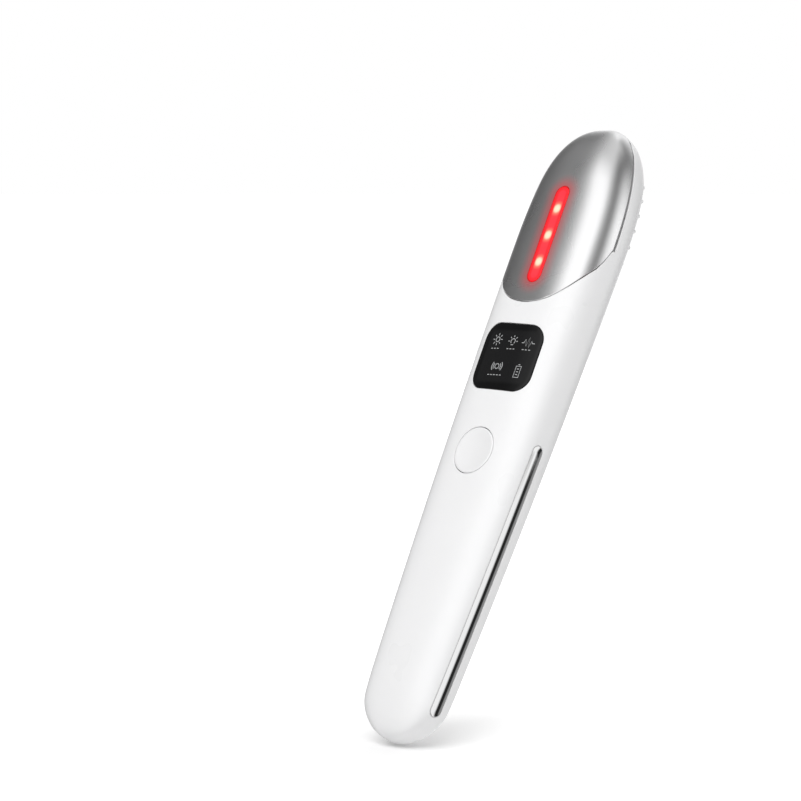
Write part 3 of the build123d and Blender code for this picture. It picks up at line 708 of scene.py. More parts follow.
@dataclass
class SkinPart:
    """A part of the form's skin, trimmed along the head's seam and given its wall. Millimetres."""

    form: WandForm
    seam: HeadSeam
    segments: int = 144
    tail_bands: int = 34
    middle_bands: int = 66
    head_bands: int = 54
    edge: float = 0.12
    edge_offsets: tuple[float, ...] = (0.0, 0.02, 0.05, 0.09, 0.13, 0.24)
    edge_reach: float = 1.0
    least_level: float = 0.05
    seam_reach: float = 2.5
    seam_overlap: float = 2.0
    gap_reach: float = 1.8
    gap_overlap: float = 0.8
    refit_reach: float = 3.0
    refit_rounds: int = 3
    skin_tolerance: float = 0.025

    @staticmethod
    def closer_at_tip(length: float, bands: int) -> list[float]:
        """Distances from a tip up to a length, closer together at the tip."""
        return [length * (1 - math.cos(math.pi / 2 * i / bands)) for i in range(bands + 1)]

    def heights(self) -> list[float]:
        """Heights of the skin's rings from the head tip down, closer together at both tips."""
        form = self.form
        tail, head = form.tail_side.length, form.head_front.length
        middle = form.length - tail - head
        places = self.closer_at_tip(tail, self.tail_bands)[:-1]
        places += [tail + middle * i / self.middle_bands for i in range(self.middle_bands)]
        places += [form.length - step for step in reversed(self.closer_at_tip(head, self.head_bands))]
        return places[::-1]

    def whole(self, name: str) -> bpy.types.Object:
        """The whole form as a skin: a ball whose rings are moved onto the sections."""
        heights = self.heights()
        bands = len(heights) - 1
        Bench.clear()
        bpy.ops.mesh.primitive_uv_sphere_add(segments=self.segments, ring_count=bands, radius=1.0)
        piece = bpy.context.object
        piece.name = piece.data.name = name
        for vertex in piece.data.vertices:
            place = vertex.co
            band = round(math.acos(min(max(place.z, -1.0), 1.0)) / math.pi * bands)
            if band in (0, bands):
                vertex.co = Vector((0.0, 0.0, heights[band])) * MM
            else:
                vertex.co = self.form.section_point(math.atan2(place.y, place.x), heights[band]) * MM
        return piece

    def trimmed(self, name: str, cap: bool, wall: float) -> bpy.types.Object:
        """The shell or the cap, cut along the seam with a rounded edge and a wall.

        Args:
            name: Name of the piece.
            cap: Whether it is the cap.
            wall: Thickness of its wall.

        Returns:
            The new object.
        """
        piece = self.whole(name)
        seam = self.seam
        wall_y = seam.wall_y(cap)
        inwards = -1.0 if cap else 1.0
        self.flatten(piece, cap)
        with Bench.editing(piece):
            for offset in self.edge_offsets:
                Bench.pick_faces(
                    piece,
                    lambda middle: abs(middle.z) < self.seam_reach
                    and middle.y < seam.edge_y + self.seam_overlap,
                )
                level = offset if cap else -offset
                bpy.ops.mesh.bisect(plane_co=(0.0, 0.0, level * MM), plane_no=(0.0, 0.0, 1.0))
        self.unflatten(piece, cap)
        with Bench.editing(piece):
            for offset in self.edge_offsets:
                Bench.pick_faces(
                    piece,
                    lambda middle: middle.z > seam.side_edge - self.gap_overlap
                    and abs(middle.y - wall_y) < self.gap_reach,
                )
                bpy.ops.mesh.bisect(
                    plane_co=(0.0, (wall_y + inwards * offset) * MM, 0.0), plane_no=(0.0, 1.0, 0.0)
                )
            Bench.pick_faces(piece, lambda middle: not seam.kept(cap, middle))
            bpy.ops.mesh.delete(type="FACE")
        for vertex in piece.data.vertices:
            place = vertex.co / MM
            drop = self.edge_drop(place, cap)
            if drop > 0.0:
                vertex.co = (place - self.form.normal(place) * drop) * MM
        Bench.apply(piece, "SOLIDIFY", thickness=wall * MM, offset=-1.0, use_rim=True)
        return piece

    def flatten(self, piece: bpy.types.Object, cap: bool) -> None:
        """Shift each point along Z until the seam lies level at zero."""
        for vertex in piece.data.vertices:
            rise, gradient = self.seam.rise(cap, vertex.co / MM)
            vertex.co.z = rise / gradient.length * MM

    def unflatten(self, piece: bpy.types.Object, cap: bool) -> None:
        """Shift each point back, and onto the form where it lies near the seam."""
        for vertex in piece.data.vertices:
            place = vertex.co / MM
            level = place.z
            near = abs(level) < self.refit_reach
            for _ in range(self.refit_rounds if near else 1):
                place.z = 0.0
                rise, gradient = self.seam.rise(cap, place)
                place.z = level * gradient.length - rise
                if near:
                    place = self.form.onto_section(place)
            vertex.co = place * MM

    def edge_drop(self, place: Vector, cap: bool) -> float:
        """How far the rounded edge lies below the form at a place near the seam."""
        distance, away = self.seam.nearest(cap, place)
        if distance > self.edge_reach:
            return 0.0
        lean = self.form.normal(place).dot(away)
        along = distance / math.sqrt(max(1.0 - lean**2, self.least_level))
        if along >= self.edge:
            return 0.0
        return self.edge - math.sqrt(self.edge**2 - (self.edge - along) ** 2)

    def polish(self, piece: bpy.types.Object, cap: bool) -> None:
        """Shade the piece, with the form's own normals wherever its skin follows the form."""
        Bench.smooth(piece)
        mesh = piece.data
        normals = []
        for vertex in mesh.vertices:
            place = vertex.co / MM
            on_form = abs(self.form.rise(place)) < self.skin_tolerance
            follows = on_form and self.edge_drop(place, cap) == 0.0
            normals.append(self.form.normal(place) if follows else Vector((0.0, 0.0, 0.0)))
        mesh.normals_split_custom_set_from_vertices(normals)


def cut(piece: bpy.types.Object, cutters: Sequence[bpy.types.Object]) -> None:
    """Cut seats and holes into a piece, and put the cutters away."""
    for cutter in cutters:
        Bench.apply(piece, "BOOLEAN", operation="DIFFERENCE", object=cutter, solver="EXACT")
        Bench.discard(cutter)


# ---------------------------------------------------------------------------------------------
# Finishes
# ---------------------------------------------------------------------------------------------


class Recipe:
    """Lays out the nodes of one material, node group or world."""

    def __init__(self, tree: bpy.types.NodeTree) -> None:
        """Keep the tree."""
        self.tree = tree

    def node(self, kind: str, **settings: object) -> bpy.types.Node:
        """Add a node.

        Args:
            kind: The node's type.
            **settings: Values of the node's own attributes.

        Returns:
            The new node.
        """
        node = self.tree.nodes.new(kind)
        for name, value in settings.items():
            setattr(node, name, value)
        return node

    def link(self, source: bpy.types.NodeSocket, target: bpy.types.NodeSocket) -> None:
        """Link two sockets."""
        self.tree.links.new(source, target)

    def feed(self, value: object, target: bpy.types.NodeSocket) -> None:
        """Link a socket to an input, or give the input a plain value."""
        if isinstance(value, bpy.types.NodeSocket):
            self.link(value, target)
        else:
            target.default_value = value

    def math(self, operation: str, *values: object) -> bpy.types.NodeSocket:
        """A Math node over sockets or numbers; its result."""
        node = self.node("ShaderNodeMath", operation=operation)
        for socket, value in zip(node.inputs, values):
            self.feed(value, socket)
        return node.outputs[0]

    def spread(
        self,
        value: bpy.types.NodeSocket,
        start: float,
        end: float,
        low: float,
        high: float,
        clamped: bool = True,
    ) -> bpy.types.NodeSocket:
        """A Map Range node.

        Args:
            value: The socket whose value is mapped.
            start: The value that gives the low result.
            end: The value that gives the high result.
            low: The result at the start.
            high: The result at the end.
            clamped: Whether values past both ends give no more than the results there.

        Returns:
            The mapped value.
        """
        node = self.node("ShaderNodeMapRange", clamp=clamped)
        self.link(value, node.inputs["Value"])
        limits = {"From Min": start, "From Max": end, "To Min": low, "To Max": high}
        for name, number in limits.items():
            node.inputs[name].default_value = number
        return node.outputs["Result"]

    def mix(self, part: bpy.types.NodeSocket, first: object, second: object) -> bpy.types.NodeSocket:
        """A mix of two colours.

        Args:
            part: How much of the second colour the mix takes, from 0 to 1.
            first: A colour or a socket.
            second: A colour or a socket.

        Returns:
            The mixed colour.
        """
        node = self.node("ShaderNodeMix", data_type="RGBA", clamp_factor=False)
        self.link(part, node.inputs["Factor"])
        colours = [socket for socket in node.inputs if socket.type == "RGBA"]
        for socket, value in zip(colours, (first, second)):
            self.feed(value, socket)
        return [socket for socket in node.outputs if socket.type == "RGBA"][0]

    def axes(self) -> tuple[bpy.types.NodeSocket, ...]:
        """X, Y and Z of a place in the object's own frame, in metres."""
        parts = self.node("ShaderNodeSeparateXYZ")
        self.link(self.node("ShaderNodeTexCoord").outputs["Object"], parts.inputs[0])
        return tuple(parts.outputs)

    def seen(self) -> bpy.types.NodeSocket:
        """One where a ray comes from the camera, a mirror or glass, and zero elsewhere."""
        path = self.node("ShaderNodeLightPath")
        seen = self.math("MAXIMUM", path.outputs["Is Camera Ray"], path.outputs["Is Glossy Ray"])
        return self.math("MAXIMUM", seen, path.outputs["Is Transmission Ray"])


class Effects:
    """Node groups that several finishes share, each built once."""

    @staticmethod
    def group(
        name: str, inputs: Sequence[tuple[str, float]], outputs: Sequence[str]
    ) -> tuple[bpy.types.NodeTree, Recipe, bpy.types.Node, bpy.types.Node]:
        """An empty group with its sockets.

        Args:
            name: Name of the group.
            inputs: Each input's name and value.
            outputs: Each output's name.

        Returns:
            The tree, its recipe and its two end nodes.
        """
        tree = bpy.data.node_groups.new(name, "ShaderNodeTree")
        for label, value in inputs:
            socket = tree.interface.new_socket(label, in_out="INPUT", socket_type="NodeSocketFloat")
            socket.default_value = value
        for label in outputs:
            tree.interface.new_socket(label, in_out="OUTPUT", socket_type="NodeSocketFloat")
        recipe = Recipe(tree)
        return tree, recipe, recipe.node("NodeGroupInput"), recipe.node("NodeGroupOutput")

    @staticmethod
    def surface_grain() -> bpy.types.NodeTree:
        """Fine grain and broad cloudiness of a moulded, drawn or coated surface."""
        if "surface_grain" in bpy.data.node_groups:
            return bpy.data.node_groups["surface_grain"]
        tree, recipe, start, end = Effects.group(
            "surface_grain", (("Grain Scale", 2000.0), ("Cloud Scale", 60.0)), ("Grain", "Cloud")
        )
        place = recipe.node("ShaderNodeTexCoord").outputs["Object"]
        for label, source, detail in (("Grain", "Grain Scale", 4.0), ("Cloud", "Cloud Scale", 2.0)):
            noise = recipe.node("ShaderNodeTexNoise")
            noise.inputs["Detail"].default_value = detail
            recipe.link(place, noise.inputs["Vector"])
            recipe.link(start.outputs[source], noise.inputs["Scale"])
            recipe.link(noise.outputs["Fac"], end.inputs[label])
        return tree

    @staticmethod
    def light_field() -> bpy.types.NodeTree:
        """Distances in millimetres from the red light's middle line and from its nearest spot."""
        if "light_field" in bpy.data.node_groups:
            return bpy.data.node_groups["light_field"]
        inputs = (
            ("Middle Height", 124.4),
            ("Half Line", 10.4),
            ("Spot Height", 124.1),
            ("Spot Pitch", 6.95),
        )
        tree, recipe, start, end = Effects.group("light_field", inputs, ("Line", "Spot"))
        across, _, height = recipe.axes()
        x = recipe.math("MULTIPLY", across, 1 / MM)
        z = recipe.math("MULTIPLY", height, 1 / MM)
        sideways = recipe.math("MULTIPLY", x, x)
        past = recipe.math(
            "SUBTRACT",
            recipe.math("ABSOLUTE", recipe.math("SUBTRACT", z, start.outputs["Middle Height"])),
            start.outputs["Half Line"],
        )
        past = recipe.math("MAXIMUM", past, 0.0)
        square = recipe.math("ADD", sideways, recipe.math("MULTIPLY", past, past))
        recipe.link(recipe.math("SQRT", square), end.inputs["Line"])
        nearest = None
        for step in (-1, 0, 1):
            centre = recipe.math(
                "MULTIPLY_ADD", start.outputs["Spot Pitch"], float(step), start.outputs["Spot Height"]
            )
            off = recipe.math("SUBTRACT", z, centre)
            square = recipe.math("ADD", sideways, recipe.math("MULTIPLY", off, off))
            nearest = square if nearest is None else recipe.math("MINIMUM", nearest, square)
        recipe.link(recipe.math("SQRT", nearest), end.inputs["Spot"])
        return tree


@dataclass(frozen=True)
class Finish:
    """A coated, moulded or metal surface with its grain."""

    name: str
    colour: Colour
    roughness: float = 0.4
    metallic: float = 0.0
    grain_scale: float = 2500.0
    cloud_scale: float = 70.0
    grain_height: float = 0.02
    shade: float = 0.94
    roughness_spread: float = 0.05
    coat: float = 0.0
    coat_roughness: float = 0.08
    specular: float = 0.5
    cloud_span: tuple[float, float] = (0.2, 0.8)
    bump_distance: float = 0.0001

    def build(self) -> bpy.types.Material:
        """The finish as a material, made once."""
        if self.name in bpy.data.materials and bpy.data.materials[self.name].get("ready"):
            return bpy.data.materials[self.name]
        material = bpy.data.materials.new(self.name)
        material.use_nodes = True
        material["ready"] = True
        material.diffuse_color = self.colour
        recipe = Recipe(material.node_tree)
        shader = material.node_tree.nodes["Principled BSDF"]
        shader.inputs["Metallic"].default_value = self.metallic
        shader.inputs["Coat Weight"].default_value = self.coat
        shader.inputs["Coat Roughness"].default_value = self.coat_roughness
        shader.inputs["Specular IOR Level"].default_value = self.specular
        self.dress(recipe, shader)
        return material

    def grain(self, recipe: Recipe) -> bpy.types.Node:
        """The grain group with this finish's scales."""
        node = recipe.node("ShaderNodeGroup", node_tree=Effects.surface_grain())
        node.inputs["Grain Scale"].default_value = self.grain_scale
        node.inputs["Cloud Scale"].default_value = self.cloud_scale
        return node

    def dress(self, recipe: Recipe, shader: bpy.types.Node) -> None:
        """Colour, roughness and bump from the grain."""
        grain = self.grain(recipe)
        dark = tuple(part * self.shade for part in self.colour[:3]) + (1.0,)
        cloud = recipe.spread(grain.outputs["Cloud"], *self.cloud_span, 0.0, 1.0, False)
        recipe.link(recipe.mix(cloud, dark, self.colour), shader.inputs["Base Color"])
        low = max(self.roughness - self.roughness_spread, 0.0)
        high = self.roughness + self.roughness_spread
        rough = recipe.spread(grain.outputs["Cloud"], *self.cloud_span, low, high, False)
        recipe.link(rough, shader.inputs["Roughness"])
        bump = recipe.node("ShaderNodeBump")
        bump.inputs["Strength"].default_value = self.grain_height
        bump.inputs["Distance"].default_value = self.bump_distance
        recipe.link(grain.outputs["Grain"], bump.inputs["Height"])
        recipe.link(bump.outputs["Normal"], shader.inputs["Normal"])


@dataclass(frozen=True)
class SilverCapFinish(Finish):
    """Satin metal coat with a fine grain, and a painted red glow round the light slot: a red tint and a
    red emission on the cap.
    """

    # Painted red glow from the slot: its reach, start and fall-off in millimetres, its emission colour,
    # the cap's red tint, and a red line painted just outside the slot's edge.
    painted_glow: float = 3.7
    painted_glow_from: float = 2.0
    painted_glow_power: float = 1.6
    painted_glow_colour: Colour = (0.30, 0.0, 0.002, 1.0)
    painted_glow_tint: Colour = (0.80, 0.50, 0.52, 1.0)
    edge_painted_glow_tint: Colour = (0.70, 0.09, 0.10, 1.0)
    edge_painted_glow_span: tuple[float, float] = (2.15, 2.35)

    def dress(self, recipe: Recipe, shader: bpy.types.Node) -> None:
        """The satin grain, and the painted red glow round the slot: a tint and an emission that fade
        away from the slot, and a deeper red line painted just outside its edge.
        """
        super().dress(recipe, shader)
        field_node = recipe.node("ShaderNodeGroup", node_tree=Effects.light_field())
        line = field_node.outputs["Line"]
        # Painted glow mask: strongest at the slot's edge, fading outwards.
        near = recipe.spread(line, self.painted_glow_from, self.painted_glow_from + self.painted_glow, 1.0, 0.0)
        near = recipe.math("POWER", near, self.painted_glow_power)
        base = shader.inputs["Base Color"].links[0].from_socket
        with_painted_glow = recipe.mix(near, base, self.painted_glow_tint)
        # A red line painted on the cap just outside the slot, standing in for the lens's glow on that
        # edge.
        edge = recipe.spread(line, *self.edge_painted_glow_span, 1.0, 0.0)
        recipe.link(recipe.mix(edge, with_painted_glow, self.edge_painted_glow_tint), shader.inputs["Base Color"])
        # The cap glows red round the slot by painted emission; it is no lamp.
        glow = recipe.mix(near, grey(0.0), self.painted_glow_colour)
        recipe.link(glow, shader.inputs["Emission Color"])
        shader.inputs["Emission Strength"].default_value = 1.0


@dataclass(frozen=True)
class RedLightFinish(Finish):
    """The lit red lens with its three bright spots and a darker rim."""

    strength: float = 1.0
    rim_span: tuple[float, float] = (0.90, 1.35)
    rim_colour: Colour = (0.44, 0.0, 0.002, 1.0)
    spot_reach: float = 4.0
    stops: tuple[tuple[float, Colour], ...] = (
        (0.00, (1.0, 0.93, 0.68, 1.0)),
        (0.19, (1.0, 0.80, 0.54, 1.0)),
        (0.34, (1.0, 0.17, 0.11, 1.0)),
        (0.52, (1.0, 0.030, 0.038, 1.0)),
        (1.00, (0.95, 0.020, 0.034, 1.0)),
    )

    def dress(self, recipe: Recipe, shader: bpy.types.Node) -> None:
        """Glow that falls off from the spots and towards the rim."""
        super().dress(recipe, shader)
        field_node = recipe.node("ShaderNodeGroup", node_tree=Effects.light_field())
        ramp = recipe.node("ShaderNodeValToRGB")
        elements = ramp.color_ramp.elements
        elements[0].position, elements[0].color = self.stops[0]
        elements[1].position, elements[1].color = self.stops[-1]
        for position, colour in self.stops[1:-1]:
            elements.new(position).color = colour
        spot = recipe.math("DIVIDE", field_node.outputs["Spot"], self.spot_reach)
        recipe.link(spot, ramp.inputs["Fac"])
        rim = recipe.spread(field_node.outputs["Line"], *self.rim_span, 0.0, 1.0)
        glow = recipe.mix(rim, ramp.outputs["Color"], self.rim_colour)
        recipe.link(glow, shader.inputs["Emission Color"])
        shader.inputs["Emission Strength"].default_value = self.strength


@dataclass(frozen=True)
class WindowFinish(Finish):
    """Black glass with a slightly lighter screen behind its middle. Millimetres."""

    screen: Colour = (0.0095, 0.0095, 0.010, 1.0)
    middle: float = 92.7
    half_width: float = 7.3
    half_length: float = 6.6
    corner: float = 1.5
    softness: float = 0.4

    def dress(self, recipe: Recipe, shader: bpy.types.Node) -> None:
        """The glass, with the screen's shape laid over its colour."""
        super().dress(recipe, shader)
        across, _, height = recipe.axes()
        x = recipe.math("MULTIPLY", across, 1 / MM)
        z = recipe.math("MULTIPLY_ADD", height, 1 / MM, -self.middle)
        past_side = recipe.math("SUBTRACT", recipe.math("ABSOLUTE", x), self.half_width)
        past_end = recipe.math("SUBTRACT", recipe.math("ABSOLUTE", z), self.half_length)
        past = recipe.math("SMOOTH_MAX", past_side, past_end, self.corner)
        inside = recipe.spread(past, -self.softness, self.softness, 1.0, 0.0)
        glass = shader.inputs["Base Color"].links[0].from_socket
        recipe.link(recipe.mix(inside, glass, self.screen), shader.inputs["Base Color"])


class Palette:
    """The finishes of the wand, by the record's material slots."""

    def __init__(self) -> None:
        """Build every finish."""
        self.finishes: dict[str, Finish] = {
            finish.name: finish
            for finish in (
                Finish(
                    "white_shell", WHITE, 0.30, shade=0.985, coat=0.45, coat_roughness=0.05,
                    grain_height=0.01, specular=0.3,
                ),
                SilverCapFinish(
                    "silver_cap", WHITE, 0.27, 1.0, grain_scale=5200.0, grain_height=0.22,
                    shade=0.95, cloud_scale=40.0,
                ),
                Finish("chrome_strip", grey(0.86), 0.06, 1.0, roughness_spread=0.02, shade=0.97),
                Finish("white_pad", WHITE, 0.30, shade=0.985),
                Finish("white_cover", WHITE, 0.20, shade=0.985, coat=0.3, grain_height=0.01),
                Finish(
                    "white_button", (0.93, 0.93, 0.935, 1), 0.28, 0.08, shade=0.985, coat=0.3,
                    grain_height=0.01,
                ),
                WindowFinish(
                    "black_window", (0.0035, 0.0035, 0.0038, 1), 0.10, shade=0.8,
                    grain_height=0.005, specular=0.32,
                ),
                Finish("display_marks", (0.42, 0.425, 0.43, 1), 0.5, shade=0.9),
                RedLightFinish(
                    "red_lens", (0.75, 0.03, 0.04, 1), 0.12, grain_height=0.01, specular=0.3
                ),
                Finish("dark_seal", (0.30, 0.30, 0.305, 1), 0.6, grain_height=0.2),
                Finish("white_inner", (0.78, 0.78, 0.77, 1), 0.5, grain_height=0.1),
                Finish("circuit_board", (0.01, 0.13, 0.06, 1), 0.35, shade=0.7, cloud_scale=900.0),
                Finish("black_parts", (0.02, 0.02, 0.022, 1), 0.45, grain_height=0.1),
                Finish("led_lens", (0.85, 0.80, 0.66, 1), 0.25),
                Finish("steel", (0.62, 0.62, 0.62, 1), 0.3, 1.0, shade=0.9),
                Finish("rubber_sleeve", (0.05, 0.05, 0.055, 1), 0.75, grain_height=0.3),
                Finish("brass", (0.80, 0.58, 0.26, 1), 0.3, 1.0, shade=0.9),
                Finish("polyimide", (0.62, 0.28, 0.05, 1), 0.3, shade=0.85),
                Finish("battery_foil", (0.60, 0.62, 0.64, 1), 0.35, 0.8, shade=0.88),
                Finish(
                    "foam", (0.10, 0.10, 0.11, 1), 0.9, grain_scale=1500.0, grain_height=0.6,
                    shade=0.7,
                ),
            )
        }

    def paint(self, piece: bpy.types.Object, finish: str) -> None:
        """Give a new piece one finish all over."""
        piece.data.materials.clear()
        piece.data.materials.append(self.finishes[finish].build())

    def dress_frame(self) -> None:
        """Give each carried-over CAD node the finish of its material slot."""
        for name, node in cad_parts.items():
            for slot in node.material_slots:
                label = slot.material.name.split(".")[0] if slot.material else ""
                finish = self.finishes.get(label)
                if finish is None:
                    LOG.warning("node %s has a slot %s without a finish", name, label)
                    continue
                slot.material = finish.build()


# ---------------------------------------------------------------------------------------------
# Sub-assemblies
# ---------------------------------------------------------------------------------------------


@dataclass
class SubAssembly:
    """A group of pieces that are built and dressed together."""

    form: WandForm
    palette: Palette

    def keep(
        self,
        piece: bpy.types.Object,
        finish: str,
        body: str = "wand",
        replaced: Sequence[str] = (),
    ) -> None:
        """Dress a piece, let it ride on its body and report it.

        Args:
            piece: The finished piece.
            finish: Its finish, which is also its material slot.
            body: The CAD body that it rides on.
            replaced: The CAD nodes that it stands for.
        """
        self.palette.paint(piece, finish)
        if replaced:
            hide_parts(*replaced)
        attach(piece, body)
        LOG.info("%s: %d faces, rides on %s", piece.name, len(piece.data.polygons), body)


@dataclass
class Insets:
    """The outlines of everything that is let into the form. Millimetres."""

    form: WandForm
    pad_oval: Oval = Oval(height=132.6, half_width=13.1, half_length=21.2, points=160)
    window: Inset = field(init=False)
    button: Inset = field(init=False)
    pad: Inset = field(init=False)
    cover: Inset = field(init=False)
    right_strip: Inset = field(init=False)
    left_strip: Inset = field(init=False)
    light: Inset = field(init=False)
    socket: Inset = field(init=False)

    def __post_init__(self) -> None:
        """Make each outline on its side of the form."""
        form = self.form
        window = RoundedBox(height=92.7, half_width=9.3, half_length=8.4, corner=4.2, lean=0.03)
        button = Oval(height=69.0, half_width=5.7, half_length=5.7)
        cover = RoundedBox(height=40.9, half_width=9.1, half_length=6.0, corner=3.5)
        socket = RoundedBox(height=40.9, half_width=4.62, half_length=1.78, corner=1.7)
        strip = Slot(
            bottom=7.1, top=73.8, half_width=1.7, middle=-0.8, end_points=12, side_points=58
        )
        light = Slot(bottom=112.0, top=136.8, half_width=2.0, end_points=16, side_points=22)
        self.window = Inset(form, Side.FRONT, window)
        self.button = Inset(form, Side.FRONT, button)
        self.pad = Inset(form, Side.BACK, self.pad_oval)
        self.cover = Inset(form, Side.BACK, cover)
        self.socket = Inset(form, Side.BACK, socket)
        self.right_strip = Inset(form, Side.RIGHT, strip)
        self.left_strip = Inset(form, Side.LEFT, strip)
        self.light = Inset(form, Side.FRONT, light)


@dataclass
class Housing:
    """The white shell with the seats of everything that is let into it. Millimetres."""

    form: WandForm
    seam: HeadSeam
    insets: Insets
    wall: float = 1.6
    window_seat: Seat = Seat(0.10, 0.16, 1.15)
    button_seat: Seat = Seat(0.16, 0.16, 2.4)
    pad_seat: Seat = Seat(0.05, 0.12, 1.0, 14)
    cover_seat: Seat = Seat(0.08, 0.10, 1.25)
    groove: Seat = Seat(0.0, 0.14, 0.95, 2)
    socket_mouth: Seat = Seat(0.0, 0.05, 3.4)

    def build(self) -> bpy.types.Object:
        """The trimmed skin with its wall, cut for the inset pieces."""
        skin = SkinPart(self.form, self.seam)
        shell = skin.trimmed("housing_shell", False, self.wall)
        insets = self.insets
        seats = (
            (insets.window, self.window_seat),
            (insets.button, self.button_seat),
            (insets.pad, self.pad_seat),
            (insets.cover, self.cover_seat),
            (insets.right_strip, self.groove),
            (insets.left_strip, self.groove),
            (insets.socket, self.socket_mouth),
        )
        cut(shell, [inset.cutter(seat) for inset, seat in seats])
        skin.polish(shell, False)
        return shell


@dataclass
class Shell(SubAssembly):
    """Housing, cap and lens. Millimetres."""

    cap_wall: float = 1.4
    light_seat: Seat = Seat(0.06, 0.09, 2.6, 2)
    lens: Plate = Plate(0.06, 0.12, 1.6, 6)

    def build(self, insets: Insets, seam: HeadSeam) -> None:
        """Build the outer shells and the red lens."""
        housing = Housing(self.form, seam, insets).build()
        self.keep(housing, "white_shell", replaced=("housing",))
        skin = SkinPart(self.form, seam)
        cap = skin.trimmed("silver_cap_shell", True, self.cap_wall)
        cut(cap, [insets.light.cutter(self.light_seat)])
        skin.polish(cap, True)
        self.keep(cap, "silver_cap", replaced=("head_cap",))
        lens = insets.light.piece("light_lens", self.lens)
        self.keep(lens, "red_lens", replaced=("light_window",))


@dataclass
class MassagePad(SubAssembly):
    """The oval pad on the back of the head with its nubs. Millimetres."""

    plate: Plate = Plate(0.05, 0.12, 0.95, 26)
    side_margin: float = 0.9
    end_margin: float = 2.0
    ring_step: float = 3.1
    ring_counts: tuple[int, ...] = (24, 20, 16, 12)
    middle_offsets: tuple[float, ...] = (-5.55, -1.85, 1.85, 5.55)
    nub_radius: float = 0.52
    nub_height: float = 0.38
    nub_root: float = 0.15
    nub_turns: tuple[int, ...] = (0, 22, 45, 66, 84)
    nub_points: int = 14

    def nub(self) -> bpy.types.Object:
        """One nub: a low dome, standing on its origin along Z."""
        profile = [(self.nub_radius, -self.nub_root)]
        for turn in self.nub_turns:
            angle = math.radians(turn)
            profile.append((self.nub_radius * math.cos(angle), self.nub_height * math.sin(angle)))
        turns = [2 * math.pi * index / self.nub_points for index in range(self.nub_points)]
        rings = [
            [Vector((radius * math.cos(turn), radius * math.sin(turn), lift)) * MM for turn in turns]
            for radius, lift in profile
        ]
        piece = Bench.through_rings("nub", rings)
        Bench.smooth(piece, ROUND_CREASE)
        return piece

    def nub_places(self, oval: Oval) -> list[Point2]:
        """Places of the nubs across the pad's oval."""
        places = []
        for ring, count in enumerate(self.ring_counts):
            half_width = oval.half_width - self.side_margin - ring * self.ring_step
            half_length = oval.half_length - self.end_margin - ring * self.ring_step
            places += evenly_round(half_width, half_length, count)
        places += [(0.0, offset) for offset in self.middle_offsets]
        return [(u, oval.height + v) for u, v in places]

    def build(self, insets: Insets) -> None:
        """Build the pad and set a copy of the nub at each place."""
        pad = insets.pad.piece("massage_pad_face", self.plate)
        model = self.nub()
        copies = []
        for u, v in self.nub_places(insets.pad_oval):
            copy = model.copy()
            copy.data = model.data.copy()
            bpy.context.collection.objects.link(copy)
            base = self.form.place(Side.BACK, u, v, 0.0)
            turn = Vector((0, 0, 1)).rotation_difference(self.form.normal(base / MM)).to_matrix()
            copy.data.transform(Matrix.Translation(base) @ turn.to_4x4())
            copies.append(copy)
        Bench.discard(model)
        Bench.join([pad] + copies)
        self.keep(pad, "white_pad", replaced=("massage_pad",))


def evenly_round(half_width: float, half_length: float, count: int) -> list[Point2]:
    """Places at even distances round an ellipse, the first at its side.

    Args:
        half_width: Half the ellipse's width.
        half_length: Half its length.
        count: How many places.

    Returns:
        The places, from the ellipse's middle.
    """
    steps = 720
    ring = [
        (half_width * math.cos(t), half_length * math.sin(t))
        for t in (2 * math.pi * index / steps for index in range(steps + 1))
    ]
    lengths = [0.0]
    for first, second in zip(ring, ring[1:]):
        lengths.append(lengths[-1] + math.hypot(second[0] - first[0], second[1] - first[1]))
    places = []
    at = 0
    for index in range(count):
        target = lengths[-1] * index / count
        while lengths[at + 1] < target:
            at += 1
        places.append(ring[at])
    return places


